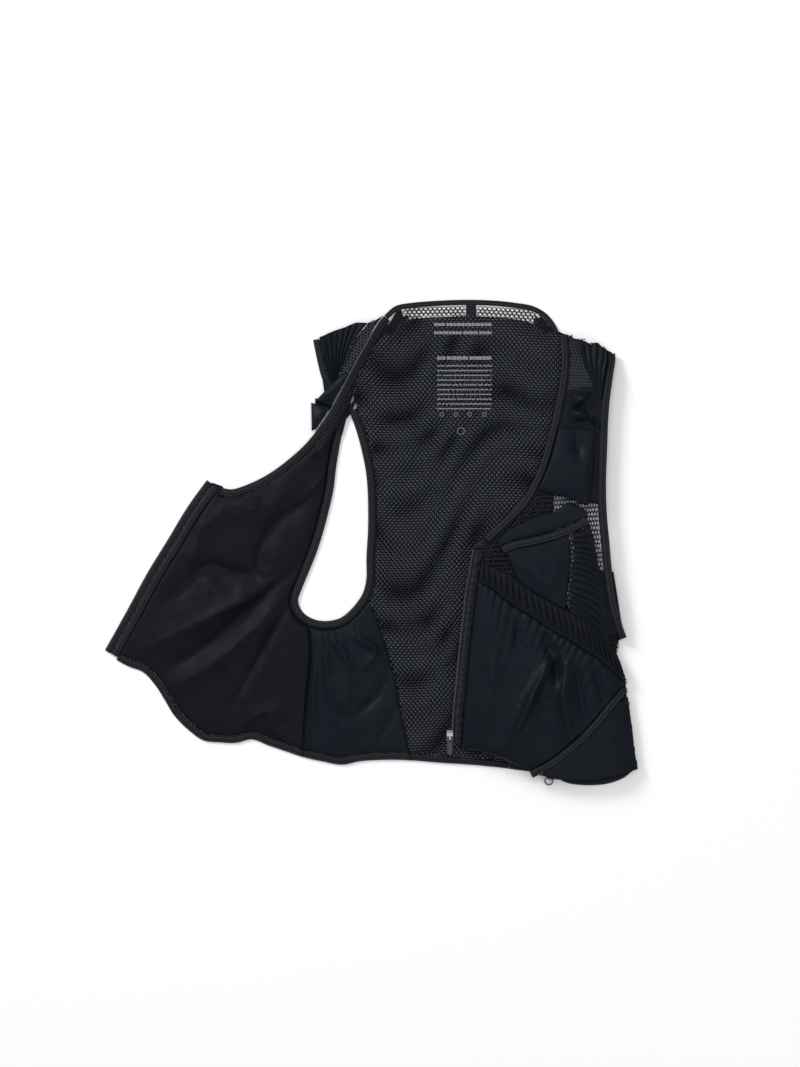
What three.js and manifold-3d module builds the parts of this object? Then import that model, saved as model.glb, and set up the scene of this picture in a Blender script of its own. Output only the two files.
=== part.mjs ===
// Running hydration vest, laid flat with its back on the ground and its inside up.
// The wearer's right front is swung open to the left and shows its lining.
// The wearer's left front is folded over the back and shows its pockets.
// Millimetres, +X across, +Y up along the back, +Z off the ground.

import * as THREE from "three";
import { mergeVertices } from "three/addons/utils/BufferGeometryUtils.js";
import Module from "manifold-3d";

// Driving sizes of the laid out vest
const VEST_WIDTH = 480;
const VEST_LENGTH = 437;

// Cloth and tape thicknesses
const NET_WALL = 1.1;
const LINING_WALL = 1.4;
const POCKET_WALL = 1.5;
const BINDING_WALL = 2.6;
const BAND_WALL = 2.2;

// Tape and binding widths
const NECK_BINDING = 7.2;
const COLLAR_BINDING = 4.6;
const COLLAR_DEPTH = 9.6;
const ARMHOLE_BINDING = 7.6;
const ZIP_BAND = 6.4;
const HEM_BAND = 6;
const POCKET_TRIM = 7.5;
const DIAGONAL_TAPE = 7.2;
const ZIP_TAPE = 7.5;
const YOKE_BAND = 5.6;

// Clearances
const SEAM_GAP = 0.8;
const LAYER_GAP = 0.5;
const FRONT_GAP = 0.8;

// Heights off the ground
const FRONT_LEVEL = 9.8;
const FOLD_HEIGHT = 9;
const LINING_SWELL = 4.5;
const POCKET_SWELL = 6;
const SHOULDER_RISE = 10;
const FRONT_REACH = 26;
const NET_RIPPLE = 1;
const RIDGE_REACH = 14;
const RIDGE_TAIL = 0.03;

// Ruffles, pleats and ribs
const GATHERS = 23;
const GATHER_RELIEF = 2.4;
const RIBS = 14;
const RIB_RELIEF = 1.7;
const PLEATS = 6;
const PLEAT_RELIEF = 1.6;

// Zip slider, with lengths along the zip and heights off the tape
const SLIDER_START = 2;
const SLIDER_LENGTH = 9.5;
const SLIDER_WIDTH = 5.4;
const SLIDER_HEIGHT = 2.6;
const SLIDER_NOSE = 0.9;
const SLIDER_SLOPE = 4.2;
const BRIDGE_WIDTH = 1.3;
const BRIDGE_BAR = 0.9;
const BRIDGE_START = 1;
const BRIDGE_END = 8;
const BRIDGE_HEIGHT = 5.4;
const PIVOT_ALONG = 3;
const PIVOT_HEIGHT = 3.45;

// Zip pull
const PULL_LENGTH = 16.5;
const PULL_WIDTH = 4.6;
const PULL_WALL = 1.2;
const PULL_BAR = 1.15;
const PULL_EYE = 2.9;
const PULL_EYE_WIDTH = 2.3;
const PULL_DROOP = 22;

// Zip coil and the ring on the hem
const COIL_WIDTH = 2;
const RING_RADIUS = 3.5;
const RING_WIRE = 0.6;
const LOOP_WIDTH = 2;
const LOOP_WALL = 0.9;
const LOOP_CLEARANCE = 0.5;

// Chosen lines of the laid out vest.
// Each row is [across, along] in percent of the width and of the length,
// from the left edge and from the lowest edge.
const CENTRE_ACROSS = 66.9;
const LINES = {
  neckLeft: [
    [22.1, 61.2], [24.0, 60.9], [27.4, 62.1], [31.1, 64.2], [34.8, 67.2], [38.3, 70.8],
    [41.5, 75.5], [44.3, 80.9], [46.2, 85.0], [49.0, 90.5], [51.2, 94.7], [52.5, 96.6],
  ],
  neckBack: [
    [52.5, 96.6], [54.6, 98.6], [57.8, 99.3], [62.1, 99.7], [66.8, 99.9], [72.4, 99.8],
    [77.1, 99.3], [80.5, 98.6], [82.9, 97.1], [84.5, 95.0], [85.3, 93.2],
  ],
  neckRight: [
    [85.4, 92.7], [85.6, 89.5], [85.6, 86.2], [85.2, 82.3], [84.4, 77.6], [83.1, 71.6],
    [81.8, 66.5], [79.9, 61.7], [77.7, 58.0], [74.3, 54.3], [71.1, 51.0],
  ],
  armholeBack: [
    [40.0, 89.8], [41.3, 86.6], [43.5, 81.7], [46.0, 77.0], [47.3, 73.0], [48.4, 68.5],
    [49.2, 63.8], [49.5, 58.6], [49.5, 52.5], [49.2, 46.7], [49.2, 42.6], [48.6, 39.7],
    [47.5, 37.7], [46.0, 35.8], [44.3, 34.4],
  ],
  armholeFront: [
    [42.0, 33.8], [39.8, 34.0], [37.9, 35.0], [36.8, 36.4], [36.4, 38.1], [37.0, 40.1],
    [38.3, 43.6], [39.8, 47.7], [40.9, 51.4], [42.0, 55.8], [43.0, 60.7], [43.5, 65.2],
    [44.1, 69.3], [44.7, 72.6], [45.1, 74.5],
  ],
  armholeRight: [
    [97.9, 30.5], [97.2, 32.5], [96.4, 35.6], [95.7, 39.1], [95.1, 44.2], [94.6, 50.4],
    [94.1, 56.6], [94.0, 62.8], [94.2, 68.9], [94.4, 75.1], [94.7, 79.2], [95.1, 82.5],
    [95.5, 85.4], [95.8, 87.2], [95.8, 88.8],
  ],
  zipLeft: [
    [0.2, 27.8], [2.4, 32.1], [4.9, 37.1], [8.2, 43.8], [12.0, 50.6], [15.8, 57.5], [19.3, 62.8],
  ],
  zipRight: [
    [65.0, 8.8], [65.3, 15.0], [65.9, 21.6], [66.4, 27.8], [67.1, 34.4], [67.7, 40.1],
    [68.4, 44.6], [69.0, 48.6],
  ],
  hem: [
    [1.5, 26.3], [4.5, 24.5], [7.3, 23.3], [9.6, 20.6], [11.4, 17.5], [13.2, 14.3], [15.9, 11.3],
    [18.7, 9.2], [21.8, 8.8], [24.8, 8.7], [27.8, 9.4], [30.8, 8.2], [34.0, 7.0], [37.3, 5.8],
    [40.9, 4.9], [44.7, 4.2], [48.0, 4.9], [52.7, 5.2], [57.4, 5.1], [63.0, 4.6], [68.7, 4.2],
    [74.3, 3.6], [79.0, 2.9], [82.3, 2.55], [84.4, 1.9], [86.0, 0.8], [88.4, 0.1], [94.0, 0.2],
    [97.3, 1.4], [99.0, 2.8],
  ],
  sideSeam: [
    [37.3, 5.8], [37.5, 10.3], [37.9, 16.5], [38.5, 22.6], [38.8, 27.8], [38.5, 32.3],
  ],
  netBorder: [
    [57.6, 5.1], [56.7, 10.3], [55.7, 15.4], [55.0, 20.0], [53.8, 25.1], [52.5, 30.2],
    [51.2, 34.2], [50.1, 37.2],
  ],
  strapEdge: [[43.6, 75.4], [45.2, 76.2], [46.2, 78.4], [46.9, 80.9], [48.2, 85.4], [49.9, 90.1]],
  shoulderFold: [
    [85.4, 92.9], [86.7, 92.6], [88.0, 92.15], [89.3, 91.65], [90.5, 91.15], [91.15, 90.7],
    [91.75, 91.0], [92.5, 91.0], [93.2, 90.3], [94.4, 89.6], [95.3, 89.1], [96.1, 88.6],
  ],
  sideFold: [
    [100, 3.5], [99.4, 7.2], [99.1, 10.3], [98.6, 14.4], [98.1, 18.5], [97.8, 21.6],
    [96.9, 25.1], [96.2, 27.4], [96.6, 29.6],
  ],
  frontBottom: [
    [65.1, 8.0], [68.7, 7.6], [71.5, 6.8], [74.3, 5.7], [77.1, 4.5], [79.9, 3.3], [82.7, 1.9],
    [86.5, 1.2], [91.2, 1.2], [95.9, 2.1], [100, 3.4],
  ],
  gatherTop: [
    [70.0, 47.2], [72.4, 44.9], [75.2, 43.6], [77.7, 41.6], [80.3, 39.7], [83.1, 37.9],
    [85.7, 36.4], [88.6, 34.8], [91.2, 32.7], [93.2, 30.2], [95.5, 27.6],
  ],
  gatherStitch: [
    [69.8, 42.2], [72.4, 40.7], [74.9, 38.5], [77.3, 36.6], [79.5, 35.2], [82.0, 33.3],
    [84.6, 31.5], [87.4, 29.8], [90.2, 27.8], [93.1, 25.7], [95.1, 23.7],
  ],
  diagonal: [
    [79.6, 3.1], [83.3, 5.3], [86.5, 8.0], [89.3, 10.7], [92.1, 14.0], [94.7, 17.5], [97.0, 20.4],
  ],
  upperPocketTop: [
    [73.7, 50.2], [76.2, 52.5], [79.0, 54.3], [81.8, 55.6], [84.6, 56.4], [87.1, 58.2],
    [90.4, 56.4],
  ],
  upperPocketTrim: [
    [74.3, 49.2], [76.5, 50.2], [79.9, 51.0], [83.3, 51.9], [86.7, 53.3], [90.4, 55.1],
  ],
  upperPocketWest: [[78.2, 41.2], [77.1, 43.2], [75.6, 47.2]],
  upperPocketEast: [[86.3, 36.2], [87.1, 43.2], [87.4, 47.9], [86.9, 52.0]],
  shirredWest: [[87.1, 35.8], [87.6, 43.2], [88.0, 47.9], [87.6, 52.3]],
  shirredEast: [[94.5, 29.0], [94.0, 36.0], [93.4, 40.1], [92.7, 44.2], [92.1, 48.4], [91.2, 52.9]],
  yokeTop: [
    [39.2, 91.6], [40.9, 92.4], [43.0, 93.4], [45.2, 94.2], [47.3, 95.1], [49.5, 95.1],
    [50.8, 95.6], [52.0, 96.4],
  ],
  yokeWest: [[41.2, 82.6], [40.5, 85.0], [39.8, 88.3], [39.2, 91.6]],
  yokeSeam: [[42.0, 81.3], [43.9, 84.0], [45.0, 86.8], [46.2, 89.9], [47.7, 92.6], [49.5, 95.0]],
  yokeBottom: [[42.3, 82.9], [43.6, 84.2]],
};

// Folds of the cloth: the route of each ridge or valley, its reach to each side in percent
// of the width, and its rise as a share of the fold height, below zero for a valley.
const LINING_FOLDS = [
  { route: [[20.3, 58.6], [18.6, 55.6], [17.8, 51.4], [16.7, 46.3], [16.5, 42.8]], reach: 1.3, rise: 0.35 },
  { route: [[24.0, 59.3], [22.1, 56.6], [18.0, 52.5]], reach: 1.7, rise: 0.4 },
  { route: [[28.5, 42.8], [23.3, 43.8], [18.6, 44.2], [14.6, 40.1], [10.5, 36.8]], reach: 2.6, rise: -0.5 },
  { route: [[40.2, 61.1], [36.8, 57.6], [33.0, 54.5], [29.6, 49.4], [28.5, 43.8]], reach: 1.9, rise: -0.45 },
  { route: [[40.5, 49.4], [34.9, 43.8], [25.5, 34.4], [20.8, 29.8], [10.5, 22.6]], reach: 2.0, rise: -0.5 },
  { route: [[36.6, 40.1], [31.1, 30.7], [26.5, 21.2], [24.2, 16.9]], reach: 1.1, rise: -0.4 },
  { route: [[36.8, 46.3], [29.3, 40.1], [21.8, 35.6], [7.1, 27.8]], reach: 2.1, rise: 0.35 },
  { route: [[34.9, 40.1], [28.9, 32.9], [20.8, 25.3], [13.3, 20.0]], reach: 2.2, rise: 0.35 },
  { route: [[43.7, 67.9], [40.2, 62.1], [37.1, 58.2]], reach: 1.1, rise: 0.3 },
  { route: [[44.3, 71.4], [40.9, 69.1], [37.9, 67.3]], reach: 1.1, rise: 0.3 },
  { route: [[26.6, 13.0], [29.6, 14.8], [32.3, 15.0], [31.1, 12.8], [35.3, 7.8]], reach: 1.3, rise: 0.5 },
  { route: [[23.3, 58.6], [29.6, 57.6]], reach: 3.5, rise: 0.45 },
];
const SIDE_FOLDS = [
  { route: [[39.8, 29.8], [39.2, 19.5], [38.8, 8.2]], reach: 0.9, rise: 0.35 },
  { route: [[40.2, 30.5], [41.5, 26.7], [42.0, 19.5]], reach: 1.0, rise: 0.3 },
  { route: [[40.9, 31.1], [43.9, 28.8], [46.2, 24.1]], reach: 1.0, rise: 0.25 },
  { route: [[46.5, 31.1], [49.3, 29.4], [51.0, 27.6], [49.5, 24.5]], reach: 1.0, rise: 0.35 },
  { route: [[54.0, 24.1], [51.2, 18.5], [48.0, 15.4], [45.2, 13.8]], reach: 1.2, rise: -0.3 },
  { route: [[55.7, 16.5], [53.1, 12.3], [51.8, 9.9]], reach: 1.0, rise: -0.3 },
  { route: [[45.2, 27.8], [45.2, 9.3]], reach: 4, rise: 0.3 },
];
const POCKET_FOLDS = [
  { route: [[83.3, 25.7], [79.9, 18.1], [77.1, 11.3], [75.0, 6.2]], reach: 1.4, rise: 0.6 },
  { route: [[84.8, 27.4], [84.6, 21.6]], reach: 1.1, rise: -0.4 },
  { route: [[82.0, 33.5], [82.9, 29.8], [83.7, 26.1]], reach: 1.0, rise: -0.35 },
  { route: [[86.7, 24.7], [85.9, 17.5], [87.4, 9.7]], reach: 1.3, rise: 0.45 },
  { route: [[91.6, 25.7], [93.1, 19.5], [93.8, 16.0]], reach: 1.2, rise: -0.4 },
  { route: [[88.4, 24.7], [89.3, 17.5], [90.2, 13.0]], reach: 1.1, rise: -0.3 },
  { route: [[72.4, 38.1], [72.8, 25.7], [70.5, 9.3]], reach: 2.5, rise: 0.25 },
  { route: [[77.1, 35.6], [77.7, 27.8]], reach: 1.1, rise: -0.25 },
];
const SLEEVE_FOLDS = [
  { route: [[88.7, 73.6], [88.9, 67.7]], reach: 1.7, rise: -0.45 },
  { route: [[91.5, 70.0], [89.5, 60.0]], reach: 1.5, rise: 0.25 },
];

// Rise of the standing neck edge, as a share of the shoulder rise, along the left neck line
const NECK_RISE = [
  { share: 0, rise: 0.05 },
  { share: 0.35, rise: 0.2 },
  { share: 0.6, rise: 0.5 },
  { share: 0.8, rise: 1 },
  { share: 0.93, rise: 0.8 },
  { share: 1, rise: 0.3 },
];

// Crumpled parts of the flask sleeves: four corners, clockwise from the lower left,
// as [across, along] shares, and how far each part swells, as a share of the fold height
const SLEEVE_LOBES = [
  {
    name: "left_sleeve_flap",
    corners: [[39.6, 79.0], [44.6, 84.75], [46.0, 84.85], [42.55, 77.9]],
    base: (point) => neckRidge(point),
    swell: 0.5,
  },
  {
    name: "left_sleeve_roll",
    corners: [[38.95, 72.9], [38.85, 78.7], [42.4, 77.7], [39.75, 73.25]],
    base: (point) => neckRidge(point),
    swell: 0.45,
  },
  {
    name: "right_sleeve_roll",
    corners: [[87.6, 77.4], [87.9, 80.4], [91.4, 80.9], [89.6, 78.2]],
    base: (point) => onFront(point),
    swell: 0.75,
  },
  {
    name: "right_sleeve_flap",
    corners: [[87.0, 74.4], [87.3, 77.0], [89.8, 77.8], [91.0, 75.3]],
    base: (point) => onFront(point),
    swell: 0.55,
  },
  {
    name: "right_sleeve_corner",
    corners: [[91.2, 73.9], [91.2, 75.3], [91.8, 76.2], [92.2, 73.9]],
    base: (point) => onFront(point),
    swell: 0.5,
  },
];

// Parts of the collar between the neck binding and the back, as shares of the back neck line
const COLLAR_PARTS = [
  { name: "collar_net_left", from: 0.1, to: 0.45, steps: 8, finish: "net" },
  { name: "collar_tab", from: 0.45, to: 0.51, steps: 1, finish: "binding" },
];

// Right net and ends of the collar: the lines of their sides, as [across, along] shares
const COLLAR_PANELS = [
  {
    name: "collar_net_right",
    south: [[69.95, 96.45], [74.2, 96.25], [78.2, 95.7], [80.3, 94.95]],
    west: [[69.95, 96.45], [70.0, 98.65]],
    east: [[80.3, 94.95], [81.3, 96.82]],
    steps: [8, 1],
    finish: "net",
  },
  {
    name: "collar_end_left",
    south: [[51.5, 91.2], [56.3, 95.8]],
    west: [[51.5, 91.2], [54.0, 95.9]],
    east: [[56.3, 95.8], [55.8, 97.6]],
    steps: [3, 2],
    finish: "lining",
  },
  {
    name: "collar_end_right",
    south: [[80.7, 94.6], [83.2, 93.4]],
    west: [[80.7, 94.6], [81.7, 96.5]],
    east: [[83.2, 93.4], [83.8, 93.9]],
    steps: [3, 2],
    finish: "lining",
  },
];

const GARAGE_CORNERS = [[69.15, 48.8], [71.0, 50.8], [72.0, 49.7], [71.1, 48.75]];
const RING_PLACE = [83.4, 0.82];

const COLOURS = {
  net: { color: "#191b22", roughness: 0.85, metalness: 0 },
  lining: { color: "#15161c", roughness: 0.6, metalness: 0 },
  pocket: { color: "#14161d", roughness: 0.55, metalness: 0 },
  binding: { color: "#1c1c20", roughness: 0.75, metalness: 0 },
  zip: { color: "#2a2b2f", roughness: 0.5, metalness: 0 },
  slider: { color: "#8d9095", roughness: 0.35, metalness: 0.8 },
  pull: { color: "#55585c", roughness: 0.6, metalness: 0 },
  ring: { color: "#2b2c30", roughness: 0.4, metalness: 0 },
};

// Plan lines

const STEPS_PER_KNOT = 8;
const EXTENSION = 40;
const BEND_WEIGHT = 30;

/** The plan point at [across, along] shares of the vest. */
function place([across, along]) {
  return new THREE.Vector2((across / 100) * VEST_WIDTH, (along / 100) * VEST_LENGTH);
}

/** A smooth plan line through the places of a table. */
function smooth(places) {
  const knots = places.map(place).map(({ x, y }) => new THREE.Vector3(x, y, 0));
  const curve = new THREE.CatmullRomCurve3(knots, false, "centripetal");
  const points = curve.getPoints(STEPS_PER_KNOT * (knots.length - 1));
  return points.map(({ x, y }) => new THREE.Vector2(x, y));
}

/** The same line on the other side of the back's centre line. */
function mirrored(places) {
  return places.map(([across, along]) => [2 * CENTRE_ACROSS - across, along]);
}

/** The line run the other way. */
function backwards(line) {
  return [...line].reverse();
}

/** The line moved sideways, to the left of its travel for a distance above zero. */
function beside(line, distance) {
  return line.map((point, i) => {
    const before = line[Math.max(i - 1, 0)];
    const after = line[Math.min(i + 1, line.length - 1)];
    const travel = after.clone().sub(before).normalize();
    return new THREE.Vector2(point.x - travel.y * distance, point.y + travel.x * distance);
  });
}

/** The line carried straight on past both ends. */
function extended(line) {
  const past = (end, inner) => end.clone().add(end.clone().sub(inner).setLength(EXTENSION));
  const last = line.length - 1;
  return [past(line[0], line[1]), ...line, past(line[last], line[last - 1])];
}

/** How far along the line each of its points lies. */
function distancesOf(line) {
  const distances = [0];
  for (let i = 1; i < line.length; i += 1) {
    distances.push(distances[i - 1] + line[i].distanceTo(line[i - 1]));
  }
  return distances;
}

/** The point at a distance along the line. */
function pointAt(line, distances, distance) {
  let i = 1;
  while (i < line.length - 1 && distances[i] < distance) i += 1;
  const share = (distance - distances[i - 1]) / (distances[i] - distances[i - 1] || 1);
  return line[i - 1].clone().lerp(line[i], THREE.MathUtils.clamp(share, 0, 1));
}

/** The stretch of a line between two distances, as points that lie closer where it bends. */
function stations(line, from, to, steps) {
  const distances = distancesOf(line);
  const inner = line.filter((_, i) => distances[i] > from && distances[i] < to);
  const cut = [pointAt(line, distances, from), ...inner, pointAt(line, distances, to)];
  const measure = [0];
  for (let i = 1; i < cut.length; i += 1) {
    const step = cut[i].clone().sub(cut[i - 1]);
    const before = i > 1 ? cut[i - 1].clone().sub(cut[i - 2]) : step;
    const bend = step.lengthSq() && before.lengthSq() ? step.angleTo(before) : 0;
    measure.push(measure[i - 1] + step.length() + BEND_WEIGHT * bend);
  }
  const whole = measure[measure.length - 1];
  return Array.from({ length: steps + 1 }, (_, k) => pointAt(cut, measure, (whole * k) / steps));
}

/** Every crossing of two lines, with the distance along each. */
function crossings(a, b) {
  const alongA = distancesOf(a);
  const alongB = distancesOf(b);
  const found = [];
  for (let i = 1; i < a.length; i += 1) {
    for (let j = 1; j < b.length; j += 1) {
      const r = a[i].clone().sub(a[i - 1]);
      const s = b[j].clone().sub(b[j - 1]);
      const turn = r.cross(s);
      if (Math.abs(turn) < 1e-9) continue;
      const between = b[j - 1].clone().sub(a[i - 1]);
      const t = between.cross(s) / turn;
      const q = between.cross(r) / turn;
      if (t < 0 || t > 1 || q < 0 || q > 1) continue;
      found.push({
        point: a[i - 1].clone().addScaledVector(r, t),
        onA: alongA[i - 1] + t * r.length(),
        onB: alongB[j - 1] + q * s.length(),
      });
    }
  }
  return found;
}

/** The crossing of two extended lines that lies nearest to either of two ends. */
function corner(a, b, endA, endB) {
  const reach = ({ point }) => Math.min(point.distanceTo(endA), point.distanceTo(endB));
  const found = crossings(a, b).sort((one, other) => reach(one) - reach(other));
  if (found.length) return found[0];
  throw new Error("two edges of a panel do not meet");
}

/** One line made of several, each trimmed where it crosses the next. */
function chain(...lines) {
  return lines.reduce((so_far, next) => {
    const a = extended(so_far);
    const b = extended(next);
    const meet = corner(a, b, so_far[so_far.length - 1], next[0]);
    const alongA = distancesOf(a);
    const alongB = distancesOf(b);
    const before = a.slice(1).filter((_, i) => alongA[i + 1] < meet.onA);
    const after = b.slice(0, -1).filter((_, i) => alongB[i] > meet.onB);
    return [...before, meet.point, ...after];
  });
}

// Cloth panels

/** The plan grid of a panel between four lines: south and north run east, west and east run north. */
function panelGrid({ south, north, west, east }, columns, rows) {
  const [s, n, w, e] = [south, north, west, east].map(extended);
  const southWest = corner(s, w, south[0], west[0]);
  const southEast = corner(s, e, south[south.length - 1], east[0]);
  const northWest = corner(n, w, north[0], west[west.length - 1]);
  const northEast = corner(n, e, north[north.length - 1], east[east.length - 1]);
  return filledGrid(
    stations(s, southWest.onA, southEast.onA, columns),
    stations(n, northWest.onA, northEast.onA, columns),
    stations(w, southWest.onB, northWest.onB, rows),
    stations(e, southEast.onB, northEast.onB, rows),
  );
}

/** The plan grid of a band along a line, with square ends; its width grows to the line's left. */
function bandGrid(line, width, steps, rows = 1) {
  const sides = [line, beside(line, width)].map((side) =>
    stations(side, 0, distancesOf(side)[side.length - 1], steps),
  );
  const [south, north] = width > 0 ? sides : sides.reverse();
  const across = (a, b) => Array.from({ length: rows + 1 }, (_, k) => a.clone().lerp(b, k / rows));
  const last = south.length - 1;
  return filledGrid(south, north, across(south[0], north[0]), across(south[last], north[last]));
}

/** A Coons patch: each point is blended from the four sides and the four corners. */
function filledGrid(south, north, west, east) {
  const columns = south.length - 1;
  const rows = west.length - 1;
  return west.map((_, j) =>
    south.map((__, i) => {
      const u = i / columns;
      const v = j / rows;
      const point = new THREE.Vector2();
      point.addScaledVector(south[i], 1 - v).addScaledVector(north[i], v);
      point.addScaledVector(west[j], 1 - u).addScaledVector(east[j], u);
      point.addScaledVector(south[0], -(1 - u) * (1 - v)).addScaledVector(south[columns], -u * (1 - v));
      point.addScaledVector(north[0], -(1 - u) * v).addScaledVector(north[columns], -u * v);
      return point;
    }),
  );
}

/** A closed sheet over a plan grid: lie(point, u, v) is the height of its underside. */
function sheet(grid, lie, wall) {
  const rows = grid.length;
  const columns = grid[0].length;
  const count = rows * columns;
  const positions = new Float32Array(count * 6);
  grid.forEach((row, j) =>
    row.forEach((point, i) => {
      const height = lie(point, i / (columns - 1), j / (rows - 1));
      const k = j * columns + i;
      positions.set([point.x, point.y, height], 3 * k);
      positions.set([point.x, point.y, height + wall], 3 * (count + k));
    }),
  );
  const faces = [];
  for (let j = 0; j < rows - 1; j += 1) {
    for (let i = 0; i < columns - 1; i += 1) {
      const a = j * columns + i;
      const b = a + 1;
      const c = b + columns;
      const d = a + columns;
      faces.push([a + count, b + count, c + count], [a + count, c + count, d + count]);
      faces.push([a, c, b], [a, d, c]);
    }
  }
  const rim = [
    ...grid[0].map((_, i) => i),
    ...grid.slice(1).map((_, j) => (j + 2) * columns - 1),
    ...grid[0].slice(1).map((_, i) => count - 2 - i),
    ...grid.slice(1).map((_, j) => (rows - 2 - j) * columns),
  ];
  for (let k = 0; k < rim.length - 1; k += 1) {
    const p = rim[k];
    const q = rim[k + 1];
    faces.push([p, q, q + count], [p, q + count, p + count]);
  }
  const geometry = new THREE.BufferGeometry();
  geometry.setAttribute("position", new THREE.BufferAttribute(positions, 3));
  geometry.setIndex(faces.flat());
  geometry.computeVertexNormals();
  return geometry;
}

// Heights of the lying cloth

/** Nearest distance from a point to a line, and the share of the line's length where it is. */
function nearest(line, point) {
  const distances = distancesOf(line);
  let best = { distance: Infinity, share: 0 };
  for (let i = 1; i < line.length; i += 1) {
    const step = line[i].clone().sub(line[i - 1]);
    const offset = point.clone().sub(line[i - 1]);
    const t = THREE.MathUtils.clamp(offset.dot(step) / (step.lengthSq() || 1), 0, 1);
    const distance = offset.addScaledVector(step, -t).length();
    const share = (distances[i - 1] + t * step.length()) / distances[distances.length - 1];
    if (distance < best.distance) best = { distance, share };
  }
  return best;
}

/** The summed height of a table of folds at a point: each is a bell across its route. */
function foldsOf(table) {
  const folds = table.map(({ route, reach, rise }) => ({
    line: smooth(route),
    reach: (reach / 100) * VEST_WIDTH,
    height: rise * FOLD_HEIGHT,
  }));
  return (point) =>
    folds.reduce((sum, { line, reach, height }) => {
      const { distance, share } = nearest(line, point);
      const taper = 0.35 + 0.65 * Math.sin(Math.PI * THREE.MathUtils.clamp(share, 0.02, 0.98));
      return sum + height * taper * Math.exp(-((distance / reach) ** 2));
    }, 0);
}

/** One in the middle of a panel and nothing at its four edges. */
function dome(u, v, sharpness = 0.6) {
  return (Math.max(Math.sin(Math.PI * u), 0) * Math.max(Math.sin(Math.PI * v), 0)) ** sharpness;
}

const lines = Object.fromEntries(
  Object.entries(LINES).map(([name, places]) => [name, smooth(places)]),
);
const VISIBLE_ARMHOLE_KNOT = 3;
const armholeLeft = smooth([...LINES.armholeBack.slice(VISIBLE_ARMHOLE_KNOT), ...LINES.armholeFront]);
const HIDDEN_ARMHOLE_KNOTS = 2;
const hiddenArmhole = [...LINES.armholeBack, ...LINES.armholeFront.slice(0, HIDDEN_ARMHOLE_KNOTS)];
const armholeBackRight = smooth(mirrored(hiddenArmhole));
const netBorderRight = smooth(mirrored(LINES.netBorder));

/** Rise of the neck edge at the place nearest to a point, and the distance to it. */
function nearestRise(point) {
  const { distance, share } = nearest(lines.neckLeft, point);
  const next = Math.max(NECK_RISE.findIndex((row) => row.share >= share), 1);
  const [low, high] = [NECK_RISE[next - 1], NECK_RISE[next]];
  const t = (share - low.share) / (high.share - low.share);
  return { distance, rise: THREE.MathUtils.lerp(low.rise, high.rise, t) * SHOULDER_RISE };
}

/** Height of the standing neck edge at a point, falling away to both sides down to the ground. */
function neckRidge(point) {
  const { distance, rise } = nearestRise(point);
  return rise * Math.max(Math.exp(-distance / RIDGE_REACH) - RIDGE_TAIL, 0);
}

/** Height of the front that is folded over the back: low at its folds, level inside. */
const backTop = 2 * NET_WALL + LAYER_GAP;
const foldLevel = backTop + LAYER_GAP;
function frontLie(point) {
  const toFold = Math.min(
    nearest(lines.shoulderFold, point).distance,
    nearest(lines.sideFold, point).distance,
  );
  const share = Math.min(toFold / FRONT_REACH, 1);
  return THREE.MathUtils.lerp(foldLevel, FRONT_LEVEL, Math.sin((Math.PI / 2) * share));
}

/** Height of what is sewn on the folded front. */
const onFront = (point) => frontLie(point) + NET_WALL + FRONT_GAP;

// Assembly helpers

const vest = new THREE.Group();
const laid = new THREE.Group();
vest.add(laid);

/** Adds a named piece in one of the finishes. */
function piece(name, geometry, finish, parent = laid) {
  const mesh = new THREE.Mesh(geometry, new THREE.MeshStandardMaterial(COLOURS[finish]));
  mesh.name = name;
  parent.add(mesh);
  return mesh;
}

const inset = {
  neck: NECK_BINDING + SEAM_GAP,
  collar: COLLAR_BINDING + COLLAR_DEPTH + 2 * SEAM_GAP,
  armhole: ARMHOLE_BINDING + 2 * SEAM_GAP,
  hem: HEM_BAND + SEAM_GAP,
  seam: SEAM_GAP / 2,
  zipLeft: 2 * (ZIP_BAND + SEAM_GAP),
  zipRight: COIL_WIDTH + ZIP_TAPE + 2 * SEAM_GAP,
};

/** A line with a stretch cut off each end. */
function shortened(line, atStart, atEnd) {
  const distances = distancesOf(line);
  return stations(line, atStart, distances[distances.length - 1] - atEnd, line.length - 1);
}

/** The part of a line between two shares of its length. */
function stretch(line, from, to) {
  const length = distancesOf(line).pop();
  return shortened(line, from * length, (1 - to) * length);
}

const ground = () => 0;

// Back: an outer panel on the ground, an inner net on it, and the collar above them

const backSides = {
  south: beside(lines.hem, inset.hem),
  west: chain(
    beside(lines.netBorder, -inset.seam),
    backwards(beside(armholeLeft, inset.armhole)),
    beside(lines.strapEdge, -inset.seam),
    beside(lines.neckLeft, -inset.neck),
  ),
  east: chain(
    beside(netBorderRight, inset.seam),
    backwards(beside(armholeBackRight, -inset.armhole)),
  ),
  north: chain(
    beside(lines.neckBack, -inset.collar),
    beside(lines.shoulderFold, -2 * SEAM_GAP),
  ),
};

function back() {
  piece("back_outer_panel", sheet(panelGrid(backSides, 8, 14), ground, NET_WALL), "lining");
  const level = NET_WALL + LAYER_GAP;
  const ripple = (u, v) => NET_RIPPLE * (1 - Math.cos(6 * Math.PI * u)) * dome(u, v) / 2;
  const lie = (point, u, v) => level + neckRidge(point) + ripple(u, v);
  piece("back_inner_net", sheet(panelGrid(backSides, 11, 13), lie, NET_WALL), "net");
}

function collar() {
  const top = beside(lines.neckBack, -(COLLAR_BINDING + SEAM_GAP));
  COLLAR_PARTS.forEach(({ name, from, to, steps, finish }) => {
    const part = shortened(stretch(top, from, to), SEAM_GAP, SEAM_GAP);
    piece(name, sheet(bandGrid(part, -COLLAR_DEPTH, steps), neckRidge, NET_WALL), finish);
  });
  COLLAR_PANELS.forEach(({ name, south, west, east, steps, finish }) => {
    const sides = { south: smooth(south), west: smooth(west), north: top, east: smooth(east) };
    piece(name, sheet(panelGrid(sides, ...steps), neckRidge, NET_WALL), finish);
  });
}

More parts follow.
